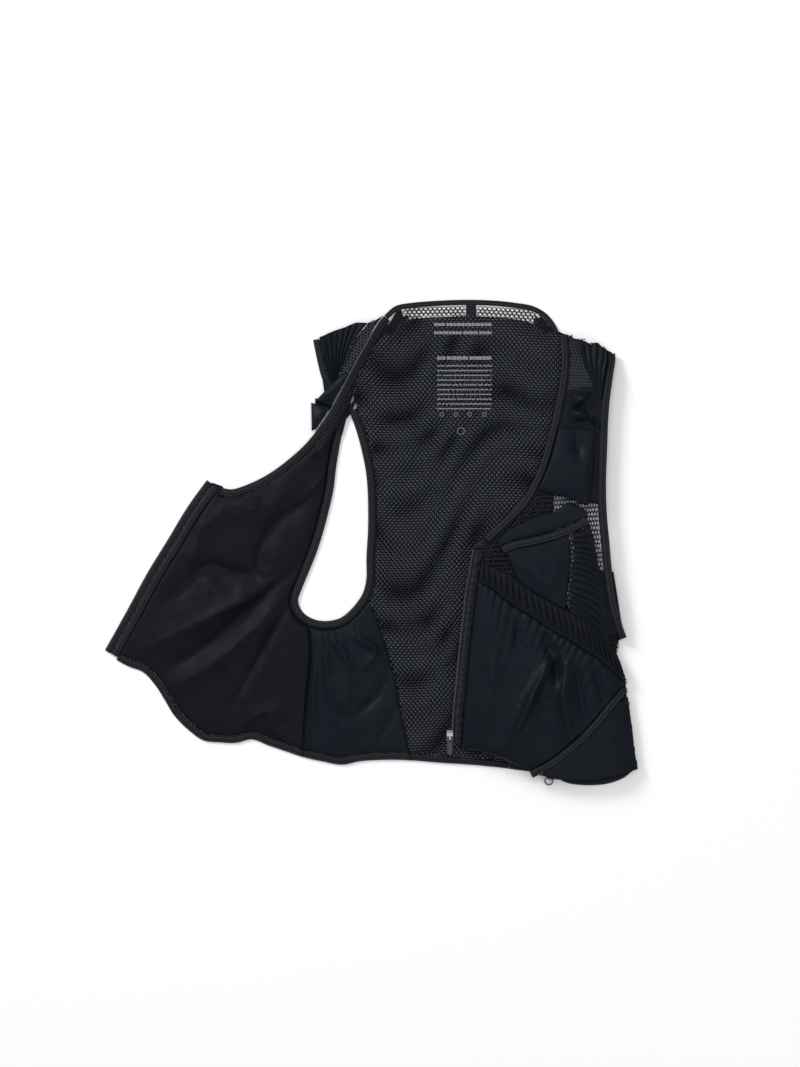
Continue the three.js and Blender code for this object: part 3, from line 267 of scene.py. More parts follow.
def corner(a, b, near):
    """Where two lines cross, nearest to a point: the distance along each, and the place."""
    r, s = np.diff(a, axis=0)[:, None], np.diff(b, axis=0)[None]
    between = b[None, :-1] - a[:-1, None]
    turn = r[..., 0] * s[..., 1] - r[..., 1] * s[..., 0]
    turn = np.where(np.abs(turn) < 1e-15, 1e-15, turn)
    t = (between[..., 0] * s[..., 1] - between[..., 1] * s[..., 0]) / turn
    q = (between[..., 0] * r[..., 1] - between[..., 1] * r[..., 0]) / turn
    i, j = np.nonzero((t >= 0) & (t <= 1) & (q >= 0) & (q <= 1))
    spots = a[i] + t[i, j][:, None] * r[i, 0]
    reach = np.min([np.linalg.norm(spots - end, axis=1) for end in near], axis=0)
    best = np.argmin(reach)
    far_a = travelled(a)[i[best]] + t[i[best], j[best]] * np.linalg.norm(r[i[best], 0])
    far_b = travelled(b)[j[best]] + q[i[best], j[best]] * np.linalg.norm(s[0, j[best]])
    return far_a, far_b, spots[best]


def chain(*parts):
    """One line made of several, each trimmed where it crosses the next."""
    line = parts[0]
    for part in parts[1:]:
        a, b = extended(line), extended(part)
        far_a, far_b, spot = corner(a, b, (line[-1], part[0]))
        before = a[1:][travelled(a)[1:] < far_a]
        after = b[:-1][travelled(b)[:-1] > far_b]
        line = np.vstack([before, spot, after])
    return line


def part_of(line, start, end, trim=0.0):
    """The stretch between two shares of a line's length, less a trim at each end."""
    whole = travelled(line)[-1]
    return stretch(line, start * whole + trim, end * whole - trim, len(line))


line = {name: smooth(rows) for name, rows in LINES.items()}
line["armhole_left"] = smooth(LINES["armhole_back"][3:] + LINES["armhole_front"])
line["armhole_hidden"] = smooth(mirrored(LINES["armhole_back"] + LINES["armhole_front"][:2]))
line["net_border_right"] = smooth(mirrored(LINES["net_border"]))
print("neck edge", round(float(travelled(line["neck_left"])[-1]), 3), "m along the left front")

# %% [markdown]
# ## Filling a panel
# Four edges meet at four corners, and a Coons patch fills them: each inner point is blended from
# the edge points left, right, above and below it. The threads of the cloth then follow its edges,
# which is how real panels are cut and eased.

# %% Grids between edges


def coons(south, north, west, east):
    """Grid of the sum of both edge blends, less the blend of the four corners."""
    u = np.linspace(0, 1, len(south))[None, :, None]
    v = np.linspace(0, 1, len(west))[:, None, None]
    grid = (1 - v) * south[None] + v * north[None] + (1 - u) * west[:, None] + u * east[:, None]
    grid = grid - (1 - u) * (1 - v) * south[0] - u * (1 - v) * south[-1]
    return grid - (1 - u) * v * north[0] - u * v * north[-1]


def cells_along(edge, cell):
    """How many points an edge needs for cells of a size."""
    return max(3, int(travelled(edge)[-1] / cell) + 2)


def panel(south, north, west, east, cell=CLOTH_CELL):
    """Grid between four lines: south and north run east, west and east run north."""
    s, n, w, e = (extended(edge) for edge in (south, north, west, east))
    s0, w0, _ = corner(s, w, (south[0], west[0]))
    s1, e0, _ = corner(s, e, (south[-1], east[0]))
    n0, w1, _ = corner(n, w, (north[0], west[-1]))
    n1, e1, _ = corner(n, e, (north[-1], east[-1]))
    columns = max(3, int(max(s1 - s0, n1 - n0) / cell) + 2)
    rows = max(3, int(max(w1 - w0, e1 - e0) / cell) + 2)
    return coons(stretch(s, s0, s1, columns), stretch(n, n0, n1, columns),
                 stretch(w, w0, w1, rows), stretch(e, e0, e1, rows))


def band(edge, width, rows=7, cell=1.5 * MM):
    """Grid of a band along a line, growing to the line's left, with square ends."""
    count = cells_along(edge, cell)
    sides = [stretch(side, 0, travelled(side)[-1], count) for side in (edge, beside(edge, width))]
    south, north = sides if width > 0 else sides[::-1]
    v = np.linspace(0, 1, rows)[:, None, None]
    return (1 - v) * south[None] + v * north[None]


# %% [markdown]
# ## Heights
# The cloth is draped by height functions rather than by a simulation, because the folds of the
# photographed vest lie in places of their own. A fold is a bell across a route, with a sharper
# crest on top of it. Routes are written as the lines are.

# %% Height tools


def away(points, edge):
    """Distance from each point to a line, and the share of the line's length where it is nearest."""
    flat = points.reshape(-1, 2)
    step = np.diff(edge, axis=0)
    size = np.maximum((step**2).sum(1), 1e-18)
    offset = flat[:, None] - edge[None, :-1]
    t = np.clip((offset * step).sum(-1) / size, 0, 1)
    reach = np.linalg.norm(offset - t[..., None] * step, axis=-1)
    best = reach.argmin(1)
    row = np.arange(len(flat))
    far = travelled(edge)
    share = (far[best] + t[row, best] * np.sqrt(size[best])) / far[-1]
    return reach[row, best].reshape(points.shape[:-1]), share.reshape(points.shape[:-1])


def folds(points, table):
    """Sum of bells across routes: rise times a soft bell with a narrow crest, tapered to the ends."""
    total = np.zeros(points.shape[:-1])
    for row in table:
        reach = row["reach"] / 100 * WIDTH
        distance, share = away(points, smooth(row["route"], 4))
        taper = 0.35 + 0.65 * np.sin(np.pi * np.clip(share, 0.02, 0.98))
        bell = 0.7 * np.exp(-((distance / reach) ** 2)) + 0.3 * np.exp(-((2.6 * distance / reach) ** 2))
        total += row["rise"] * FOLD_HEIGHT * taper * bell
    return total


def shares_of(grid):
    """The share along each row and up each column of a grid, as two arrays."""
    rows, columns = grid.shape[:2]
    return np.meshgrid(np.linspace(0, 1, columns), np.linspace(0, 1, rows))


def dome(u, v, sharpness=0.6):
    """One in the middle and nothing at the edges: a power of the product of two sines."""
    return (np.maximum(np.sin(np.pi * u), 0) * np.maximum(np.sin(np.pi * v), 0)) ** sharpness


def ruffle(points, size, seed):
    """Faint unevenness of soft cloth: a sum of eight plane waves with seeded directions."""
    draw = np.random.default_rng(seed)
    total = np.zeros(points.shape[:-1])
    for _ in range(8):
        turn = draw.uniform(0, 2 * np.pi)
        wave = 2 * np.pi / (size * draw.uniform(0.6, 1.7))
        phase = draw.uniform(0, 2 * np.pi)
        total += np.sin(wave * (points[..., 0] * np.cos(turn) + points[..., 1] * np.sin(turn)) + phase)
    return total / 8


NECK_RISE = {"share": [0, 0.35, 0.6, 0.8, 0.93, 1], "rise": [0.05, 0.2, 0.5, 1, 0.8, 0.3]}


def neck_ridge(points):
    """Height of the standing neck edge: its rise at the nearest place, fading by distance."""
    distance, share = away(points, line["neck_left"])
    rise = np.interp(share, NECK_RISE["share"], NECK_RISE["rise"]) * SHOULDER_RISE
    return rise * np.maximum(np.exp(-distance / RIDGE_REACH) - RIDGE_TAIL, 0)


def front_lie(points):
    """Height of the folded front: a quarter sine from its folds up to its level."""
    shoulder, _ = away(points, line["shoulder_fold"])
    side, _ = away(points, line["side_fold"])
    share = np.minimum(np.minimum(shoulder, side) / FRONT_REACH, 1)
    return FOLD_LEVEL + (FRONT_LEVEL - FOLD_LEVEL) * np.sin(np.pi / 2 * share)


def on_front(points):
    """Height of what is sewn on the folded front."""
    return front_lie(points) + NET_WALL + FRONT_GAP


def yoke_lie(points):
    """Height of the left shoulder's outside: from the ground at the armhole up to the neck edge."""
    to_neck, place_share = away(points, line["neck_left"])
    to_arm, _ = away(points, line["yoke_west"])
    share = to_arm / np.maximum(to_arm + to_neck, 1e-9)
    rise = np.interp(place_share, NECK_RISE["share"], NECK_RISE["rise"]) * SHOULDER_RISE
    return share**1.4 * rise


def ground(points):
    """Nothing: the piece lies on the ground."""
    return np.zeros(points.shape[:-1])


# %% [markdown]
# ## From a grid to a piece
# A sheet gets a top, an underside and a rim, so that it is a closed thin solid like the real cloth.
# Its UV map holds the cloth's own lengths in metres, which lets a weave, a net or a row of stitches
# follow the cloth instead of the room.

# %% Mesh tools


def add_mesh(name, points, faces, uv=None, corners=4):
    """A smooth shaded object from arrays of vertices and of faces with the same number of corners."""
    mesh = bpy.data.meshes.new(name)
    mesh.vertices.add(len(points))
    mesh.vertices.foreach_set("co", np.asarray(points, np.float32).ravel())
    mesh.loops.add(faces.size)
    mesh.loops.foreach_set("vertex_index", faces.ravel().astype(np.int32))
    mesh.polygons.add(len(faces))
    mesh.polygons.foreach_set("loop_start", np.arange(len(faces), dtype=np.int32) * corners)
    mesh.update(calc_edges=True)
    mesh.polygons.foreach_set("use_smooth", np.ones(len(faces), bool))
    if uv is not None:
        layer = mesh.uv_layers.new(name="cloth")
        layer.data.foreach_set("uv", uv[faces.ravel()].astype(np.float32).ravel())
    mesh.validate()
    thing = bpy.data.objects.new(name, mesh)
    bpy.context.scene.collection.objects.link(thing)
    return thing


def lengths_of(grid):
    """The cloth's own coordinates: mean travelled length along the rows and up the columns."""
    along = np.linalg.norm(np.diff(grid, axis=1), axis=2).mean(0)
    up = np.linalg.norm(np.diff(grid, axis=0), axis=2).mean(1)
    x = np.concatenate([[0], np.cumsum(along)])
    y = np.concatenate([[0], np.cumsum(up)])
    return np.stack(np.meshgrid(x, y), axis=-1)


def grid_faces(rows, columns, start=0):
    """Quads of a grid of vertices, anticlockwise from above."""
    k = start + np.arange(rows * columns).reshape(rows, columns)
    return np.stack([k[:-1, :-1], k[:-1, 1:], k[1:, 1:], k[1:, :-1]], axis=-1).reshape(-1, 4)


def sheet_arrays(grid, low, high):
    """Vertices and quads of a closed sheet: top grid, under grid, and a rim between their edges."""
    rows, columns = grid.shape[:2]
    count = rows * columns
    points = np.vstack([np.dstack([grid, high]).reshape(-1, 3), np.dstack([grid, low]).reshape(-1, 3)])
    k = np.arange(count).reshape(rows, columns)
    rim = np.concatenate([k[0, :-1], k[:-1, -1], k[-1, :0:-1], k[:0:-1, 0]])
    after = np.roll(rim, -1)
    sides = np.stack([rim + count, after + count, after, rim], axis=-1)
    faces = np.vstack([grid_faces(rows, columns), grid_faces(rows, columns, count)[:, ::-1], sides])
    return points, faces


def finish_piece(thing, node, material):
    """Dresses a piece, lets it ride on the vest, and takes the place of a CAD node."""
    thing.data.materials.append(material)
    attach(thing, "vest")
    if node:
        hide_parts(node)
    return thing


def arch(grid, roundness):
    """One in the middle of a band, falling to 1 - roundness at both edges along half an ellipse."""
    _, v = shares_of(grid)
    return 1 - roundness + roundness * np.sqrt(np.maximum(1 - (2 * v - 1) ** 2, 0))


LEAST_SHARE = 0.4
ON_THE_FLOOR = 1.5 * MM
sheets = []


def note_sheet(thing, grid, low):
    """Keeps what a sheet was cut to: its mean lengths, and its area sum(|a x b|) / 2 over the quads.

    A slanting sheet fills little of its mean lengths' product, so both are brought down to fit it."""
    across, up = lengths_of(grid)[-1, -1]
    space = np.dstack([grid, low])
    a, b = space[1:, 1:] - space[:-1, :-1], space[1:, :-1] - space[:-1, 1:]
    area = 0.5 * np.linalg.norm(np.cross(a, b), axis=2).sum()
    share = area / (across * up)
    fit = math.sqrt(share / np.clip(share, LEAST_SHARE, 1.0))
    sheets.append({"piece": thing, "flat": (across * fit, up * fit), "area": area,
                   "rests": "floor" if low.min() < ON_THE_FLOOR else "back_outer_cloth"})


def closed_sheet(name, grid, low, high):
    """The mesh between an under and an upper height of a grid, with the cloth's own UV map."""
    points, faces = sheet_arrays(grid, low, high)
    uv = np.tile(lengths_of(grid).reshape(-1, 2), (2, 1))
    thing = add_mesh(name, points, faces, uv)
    note_sheet(thing, grid, low)
    return thing


def cloth(name, grid, height, wall, material, node=None, round_edge=0.0):
    """A closed sheet: height() or an array gives its underside, and a round edge thins its rim."""
    low = height(grid) if callable(height) else height
    thing = closed_sheet(name, grid, low, low + wall * arch(grid, round_edge))
    return finish_piece(thing, node, material)


# %% [markdown]
# ## Finishes
# Everything is black, so the finishes differ by thread, gloss and sheen rather than by colour. Each
# cloth is a dark Principled surface with a fuzzy sheen. Its weave, ribs and stitches are patterns of
# the UV map, worked out in shared node groups that only put out masks and heights.

# %% Node helpers


class Nodes:
    """Short calls for the nodes of one tree."""

    def __init__(self, tree):
        self.tree = tree

    def add(self, kind, **values):
        """A node with its settings, given by attribute name."""
        node = self.tree.nodes.new(kind)
        for key, value in values.items():
            setattr(node, key, value)
        return node

    def put(self, socket, value):
        """Links a socket to a value, or sets a plain value on it."""
        if isinstance(value, bpy.types.NodeSocket):
            self.tree.links.new(value, socket)
        else:
            socket.default_value = value

    def math(self, operation, a, b=0.0, c=0.0, clamp=False):
        """The result of a Math node."""
        node = self.add("ShaderNodeMath", operation=operation, use_clamp=clamp)
        for socket, value in zip(node.inputs, (a, b, c)):
            self.put(socket, value)
        return node.outputs[0]

    def ramp(self, value, low, high, to_low=0.0, to_high=1.0):
        """A value mapped smoothly from one range to another and held at its ends."""
        node = self.add("ShaderNodeMapRange", interpolation_type="SMOOTHSTEP")
        for socket, item in zip(node.inputs[:5], (value, low, high, to_low, to_high)):
            self.put(socket, item)
        return node.outputs[0]

    def noise(self, vector, scale, detail=3.0, rough=0.5):
        """The value of a Noise texture."""
        node = self.add("ShaderNodeTexNoise")
        self.put(node.inputs["Vector"], vector)
        node.inputs["Scale"].default_value = scale
        node.inputs["Detail"].default_value = detail
        node.inputs["Roughness"].default_value = rough
        return node.outputs["Fac"]

    def mix(self, share, a, b):
        """A colour between two colours."""
        node = self.add("ShaderNodeMix", data_type="RGBA")
        self.put(node.inputs[0], share)
        self.put(node.inputs[6], a)
        self.put(node.inputs[7], b)
        return node.outputs[2]


def new_group(name, inputs, outputs):
    """An empty shader group with named float, vector or colour sockets."""
    tree = bpy.data.node_groups.new(name, "ShaderNodeTree")
    for label, kind, default in inputs:
        socket = tree.interface.new_socket(label, in_out="INPUT", socket_type=kind)
        if default is not None:
            socket.default_value = default
    for label, kind in outputs:
        tree.interface.new_socket(label, in_out="OUTPUT", socket_type=kind)
    nodes = Nodes(tree)
    return tree, nodes, nodes.add("NodeGroupInput").outputs, nodes.add("NodeGroupOutput").inputs


FLOAT = "NodeSocketFloat"
VECTOR = "NodeSocketVector"

# %% [markdown]
# A weave is two sets of threads that cross: a product of two sine waves gives little pillows, one
# for each crossing. A slow noise goes with it, because real cloth is never even.

# %% Weave and stitch groups


def weave_group():
    """Height of crossing threads: one sine along U times one sine along V, plus a slow noise."""
    tree, n, inside, out = new_group(
        "crossing_threads",
        [("UV", VECTOR, None), ("Pitch U", FLOAT, 0.0006), ("Pitch V", FLOAT, 0.0006)],
        [("Height", FLOAT), ("Mottle", FLOAT)],
    )
    split = n.add("ShaderNodeSeparateXYZ")
    n.put(split.inputs[0], inside["UV"])
    waves = []
    for axis, pitch in ((0, "Pitch U"), (1, "Pitch V")):
        turns = n.math("DIVIDE", split.outputs[axis], inside[pitch])
        waves.append(n.math("SINE", n.math("MULTIPLY", turns, 2 * math.pi)))
    crossing = n.math("MULTIPLY", waves[0], waves[1])
    n.put(out["Height"], n.math("MULTIPLY_ADD", crossing, 0.5, 0.5))
    n.put(out["Mottle"], n.noise(inside["UV"], 28.0, 4.0, 0.6))
    return tree


def stitch_group():
    """Mask of a row of stitches: dashes along U inside a narrow strip at a place along V."""
    tree, n, inside, out = new_group(
        "stitch_row",
        [("UV", VECTOR, None), ("Place", FLOAT, 0.001), ("Pitch", FLOAT, 0.002), ("Thread", FLOAT, 0.0004),
         ("Lean", FLOAT, 0.0)],
        [("Mask", FLOAT)],
    )
    split = n.add("ShaderNodeSeparateXYZ")
    n.put(split.inputs[0], inside["UV"])
    off = n.math("SUBTRACT", split.outputs[1], inside["Place"])
    strip = n.math("SUBTRACT", 1.0, n.math("DIVIDE", n.math("ABSOLUTE", off), inside["Thread"]), clamp=True)
    leaned = n.math("MULTIPLY_ADD", off, inside["Lean"], split.outputs[0])
    turns = n.math("FRACT", n.math("DIVIDE", leaned, inside["Pitch"]))
    hump = n.math("SINE", n.math("MULTIPLY", turns, math.pi))
    n.put(out["Mask"], n.math("MULTIPLY", n.ramp(strip, 0.0, 0.5), n.ramp(hump, 0.35, 0.75)))
    return tree


WEAVE = weave_group()
STITCH = stitch_group()
print("groups:", WEAVE.name, STITCH.name)

# %% [markdown]
# One function makes every cloth finish from a few plain values: its dark colour, the lit colour of its
# raised threads, a painted highlight on their crests, how rough and how fuzzy it is, the pitch and depth
# of its threads, and the rows of stitches that run along it.

# %% Cloth finishes


MOTTLE = 0.25
STITCH_PITCH = 2.2 * MM
STITCH_RISE = 0.35 * MM
SHEEN_TINT = (0.3, 0.42, 0.6, 1)


def new_material(name):
    """A material with its Principled shader, and the calls for its nodes."""
    material = bpy.data.materials.new(name)
    material.use_nodes = True
    return material, Nodes(material.node_tree), material.node_tree.nodes["Principled BSDF"]


def bump_by(n, shader, height, strength=1.0):
    """Bends the shader's normal by a height in metres."""
    bump = n.add("ShaderNodeBump")
    bump.inputs["Strength"].default_value = strength
    bump.inputs["Distance"].default_value = 1.0
    n.put(bump.inputs["Height"], height)
    n.put(shader.inputs["Normal"], bump.outputs[0])


def cloth_finish(name, base, lit, rough, sheen, pitch, depth, stitches=(), gloss=0.12):
    """Principled cloth: colour between base and lit by thread height, a painted highlight on the crests, with
    a bump from the threads.
    """
    material, n, shader = new_material(name)
    uv = n.add("ShaderNodeUVMap", uv_map="cloth").outputs[0]
    weave = n.add("ShaderNodeGroup")
    weave.node_tree = WEAVE
    n.put(weave.inputs["UV"], uv)
    weave.inputs["Pitch U"].default_value = pitch[0]
    weave.inputs["Pitch V"].default_value = pitch[1]
    height = n.math("MULTIPLY", weave.outputs["Height"], depth)
    # Painted highlight: the colour turns to lit on the raised thread crests, where light would fall; the
    # mottle adds a random tone of the cloth.
    shade = n.math("MULTIPLY_ADD", weave.outputs["Mottle"], MOTTLE, weave.outputs["Height"])
    colour = n.mix(n.ramp(shade, 0.1, 1.1), (*base, 1), (*lit, 1))
    for where, thread, lean in stitches:
        row = n.add("ShaderNodeGroup")
        row.node_tree = STITCH
        n.put(row.inputs["UV"], uv)
        row.inputs["Place"].default_value = where
        row.inputs["Pitch"].default_value = STITCH_PITCH
        row.inputs["Thread"].default_value = thread
        row.inputs["Lean"].default_value = lean
        height = n.math("MULTIPLY_ADD", row.outputs["Mask"], STITCH_RISE, height)
        bright = tuple(3.2 * c + 0.006 for c in lit)
        colour = n.mix(n.math("MULTIPLY", row.outputs["Mask"], 0.75), colour, (*bright, 1))
    n.put(shader.inputs["Base Color"], colour)
    uneven = n.ramp(weave.outputs["Mottle"], 0.2, 0.8, rough - 0.06, rough + 0.06)
    n.put(shader.inputs["Roughness"], uneven)
    bump_by(n, shader, height, 0.9)
    shader.inputs["Specular IOR Level"].default_value = gloss
    shader.inputs["Sheen Weight"].default_value = sheen
    shader.inputs["Sheen Roughness"].default_value = 0.4
    shader.inputs["Sheen Tint"].default_value = SHEEN_TINT
    return material


GRAIN_SCALE = 2500.0
GRAIN_TONE = 1.35


def plain_finish(name, base, rough, metal=0.0, grain=0.0001):
    """Principled plastic or metal with a fine noise in its colour and its bump."""
    material, n, shader = new_material(name)
    where = n.add("ShaderNodeTexCoord").outputs["Object"]
    speckle = n.noise(where, GRAIN_SCALE, 4.0)
    bright = tuple(min(c * GRAIN_TONE, 1) for c in base)
    n.put(shader.inputs["Base Color"], n.mix(speckle, (*base, 1), (*bright, 1)))
    n.put(shader.inputs["Roughness"], n.ramp(speckle, 0.3, 0.7, rough - 0.08, rough + 0.08))
    shader.inputs["Metallic"].default_value = metal
    bump_by(n, shader, n.math("MULTIPLY", speckle, grain))
    return material


LINING = cloth_finish("lining_cloth", (0.0012, 0.0018, 0.0035), (0.0035, 0.0046, 0.0080), 0.55, 0.004,
                      (0.0009, 0.0009), 0.00004, gloss=0.1)
STRETCH = cloth_finish("stretch_cloth", (0.0025, 0.0035, 0.006), (0.007, 0.0095, 0.015), 0.45, 0.006,
                       (0.0008, 0.0011), 0.00005, gloss=0.07)
POCKET = cloth_finish("pocket_cloth", (0.0025, 0.0036, 0.006), (0.0065, 0.0092, 0.015), 0.42, 0.006,
                      (0.0008, 0.0011), 0.00005, gloss=0.07)
RIBBED = cloth_finish("ribbed_tape", (0.002, 0.0028, 0.0045), (0.008, 0.0105, 0.0155), 0.5, 0.006,
                      (0.0013, 0.0016), 0.00018, gloss=0.08)
BACKING = cloth_finish("back_outer_cloth", (0.0008, 0.0014, 0.0026), (0.002, 0.0032, 0.0055), 0.7, 0.0,
                       (0.0012, 0.0012), 0.0001, gloss=0.03)
BINDING = cloth_finish("folded_binding", (0.0035, 0.0045, 0.0065), (0.011, 0.0125, 0.0165), 0.5, 0.008,
                       (0.0011, 0.0018), 0.00014, gloss=0.1,
                       stitches=((0.0016, 0.0006, 0.6), (0.0048, 0.0006, -0.6)))
HEM_TAPE = cloth_finish("hem_tape", (0.0035, 0.0045, 0.0065), (0.011, 0.0125, 0.0165), 0.5, 0.008,
                        (0.0011, 0.0016), 0.00012, gloss=0.1,
                        stitches=((0.0012, 0.0005, 0), (0.0045, 0.0005, 0)))
ZIP_CLOTH = cloth_finish("zip_tape", (0.004, 0.005, 0.007), (0.013, 0.0145, 0.018), 0.5, 0.008,
                         (0.0012, 0.0007), 0.00015, gloss=0.1, stitches=((0.0052, 0.0005, 0),))
# Pale finish of a thin strip on the neck binding's edge: a painted highlight where that edge catches the
# light.
EDGE_HIGHLIGHT = cloth_finish("painted_edge_highlight", (0.03, 0.032, 0.036), (0.09, 0.093, 0.1), 0.5, 0.01, (0.0011, 0.0018), 0.0001)
NYLON = plain_finish("black_nylon", (0.012, 0.013, 0.016), 0.42)
SLIDER = plain_finish("slider_metal", (0.30, 0.31, 0.33), 0.38, 0.8, 0.00002)
PULL = plain_finish("pull_rubber", (0.035, 0.037, 0.042), 0.55, 0.0, 0.00004)
RING = plain_finish("ring_nylon", (0.035, 0.035, 0.038), 0.4)
PRINT = plain_finish("pale_print", (0.15, 0.155, 0.165), 0.6, 0.0, 0.00002)
print(len(bpy.data.materials), "finishes")

# %% [markdown]
# ## Nets
# The back's inside is an open hexagonal net over a second net, over dark cloth. Two nets that don't
# quite line up give the herringbone shimmer of the real thing, and a picture of a net wouldn't. So
# the nets are made: each cell is a ring of six quads between its outer corners, shared with its
# neighbours and raised, and a hole. The cells are cut from a lattice that is turned a little.

# %% Net maker
HEXAGON = np.array([[0, 2 / 3], [-0.5, 1 / 3], [-0.5, -1 / 3], [0, -2 / 3], [0.5, -1 / 3], [0.5, 1 / 3]])


def outline_of(grid):
    """The closed outline of a grid, once round."""
    return np.vstack([grid[0], grid[1:, -1], grid[-1, -2::-1], grid[-2:0:-1, 0]])


def inside(points, outline):
    """True where a point lies inside a closed outline: a ray to its right crosses it an odd number of
    times."""
    a, b = outline, np.roll(outline, -1, axis=0)
    x, y = points[:, :1], points[:, 1:]
    crosses = (a[:, 1] > y) != (b[:, 1] > y)
    rise = np.where(np.abs(b[:, 1] - a[:, 1]) < 1e-12, 1e-12, b[:, 1] - a[:, 1])
    at = a[:, 0] + (y - a[:, 1]) * (b[:, 0] - a[:, 0]) / rise
    return (crosses & (x < at)).sum(1) % 2 == 1


def net(name, outline, pitch, hole, height, relief, material, turn=0.0, wobble=(0.0, 0.03), node=None):
    """Net of hexagonal cells: corners of a brick lattice, turned and swayed by a slow sine, and lifted.

    pitch is the width of a cell and the distance between rows. hole is the hole's share of a cell."""
    low, high = outline.min(0) - 0.03, outline.max(0) + 0.03
    middle = (low + high) / 2
    half = (high - low) / 2 * 1.25
    across = np.arange(-half[0], half[0], pitch[0])
    up = np.arange(-half[1], half[1], pitch[1])
    x, y = np.meshgrid(across, up)
    x = x + (np.arange(len(up)) % 2)[:, None] * pitch[0] / 2
    centres = np.column_stack([x.ravel(), y.ravel()])

    def lay(points):
        c, s = math.cos(turn), math.sin(turn)
        swayed = points + wobble[0] * np.column_stack([
            np.sin(points[:, 1] / wobble[1]) + 0.5 * np.sin(points[:, 0] / wobble[1] * 1.7),
            np.sin(points[:, 0] / wobble[1] * 1.3 + 1.0),
        ])
        return swayed @ np.array([[c, s], [-s, c]]) + middle

    centres = centres[inside(lay(centres), outline)]
    cell = HEXAGON * pitch
    outer = (centres[:, None] + cell).reshape(-1, 2)
    inner = (centres[:, None] + cell * hole).reshape(-1, 2)
    keys = np.round(outer / (0.02 * MM)).astype(np.int64)
    _, first, shared = np.unique(keys, axis=0, return_index=True, return_inverse=True)
    shared = shared.ravel()
    points = lay(np.vstack([outer[first], inner]))
    lift = np.concatenate([np.full(len(first), relief), np.zeros(len(inner))])
    points = np.column_stack([points, height(points) + lift])
    o = shared.reshape(-1, 6)
    i = len(first) + np.arange(len(inner)).reshape(-1, 6)
    faces = np.stack([o, np.roll(o, -1, 1), np.roll(i, -1, 1), i], axis=-1).reshape(-1, 4)
    thing = add_mesh(name, points, faces)
    print(name, len(centres), "cells")
    return finish_piece(thing, node, material)


YARN_RISE = 0.08 * MM


def thread_finish(name, base, lit, rough, gloss):
    """Fine bundled yarn: a wave of small filaments and a slow noise over Object coordinates."""
    material, n, shader = new_material(name)
    where = n.add("ShaderNodeTexCoord").outputs["Object"]
    yarn = n.noise(where, 2600.0, 2.0)
    slow = n.noise(where, 35.0, 2.0)
    n.put(shader.inputs["Base Color"], n.mix(n.ramp(yarn, 0.35, 0.65), (*base, 1), (*lit, 1)))
    n.put(shader.inputs["Roughness"], n.ramp(slow, 0.3, 0.7, rough - 0.08, rough + 0.08))
    bump_by(n, shader, n.math("MULTIPLY", yarn, YARN_RISE))
    shader.inputs["Specular IOR Level"].default_value = gloss
    return material


NET_TOP = thread_finish("net_thread_upper", (0.0025, 0.0035, 0.0055), (0.006, 0.008, 0.013), 0.4, 0.08)
NET_UNDER = thread_finish("net_thread_lower", (0.03, 0.036, 0.05), (0.12, 0.13, 0.15), 0.4, 0.2)
NET_EDGE = thread_finish("net_thread_shoulder", (0.008, 0.010, 0.014), (0.03, 0.034, 0.045), 0.4, 0.15)
NET_SINGLE = thread_finish("net_thread_single", (0.0035, 0.0045, 0.0065), (0.009, 0.011, 0.016), 0.4, 0.08)

# %% [markdown]
# ## The back
# Its outer panel is plain dark cloth on the ground. The lower net lies right on it, the upper net a
# millimetre higher, and both rise towards the standing neck edge.

# %% Back
inset = {
    "neck": NECK_BINDING + SEAM,
    "collar": COLLAR_BINDING + COLLAR_DEPTH + 2 * SEAM,
    "armhole": ARMHOLE_BINDING + SEAM,
    "hem": HEM_BAND + SEAM,
    "zip_left": 2 * (ZIP_BAND + SEAM),
    "zip_right": COIL_WIDTH + ZIP_TAPE + 2 * SEAM,
}
back_west = chain(
    beside(line["net_border"], -SEAM),
    beside(line["armhole_left"], inset["armhole"])[::-1],
    beside(line["strap_edge"], -SEAM),
    beside(line["neck_left"], -inset["neck"]),
)
back_east = chain(
    beside(line["net_border_right"], SEAM),
    beside(line["armhole_hidden"], -inset["armhole"])[::-1],
)
back_north = chain(
    beside(line["neck_back"], -inset["collar"]),
    beside(line["shoulder_fold"], -2 * SEAM),
)
back_south = beside(line["hem"], inset["hem"])
back_grid = panel(back_south, back_north, back_west, back_east, cell=4 * MM)
cloth("back_outer_cloth", back_grid, lambda p: 0.6 * neck_ridge(p), 0.8 * MM, BACKING,
      node="back_outer_panel")
back_outline = outline_of(back_grid)
NET_PITCH = np.array([3.9, 2.5]) * MM
net("back_net_lower", back_outline, NET_PITCH * (1.06, 0.94), 0.7,
    lambda p: LOWER_NET_LIFT + neck_ridge(p), 0.25 * MM, NET_UNDER, turn=0.03, wobble=(0.0022, 0.03))
net("back_net_upper", back_outline, NET_PITCH, 0.66,
    lambda p: UPPER_NET_LIFT + neck_ridge(p), 0.4 * MM, NET_TOP, turn=-0.015, wobble=(0.001, 0.05),
    node="back_inner_net")

# %% [markdown]
# The collar is a strip between the neck binding and the back. Two windows in it are a single net
# with nothing behind, so the floor shows white through them. A woven tab parts them.

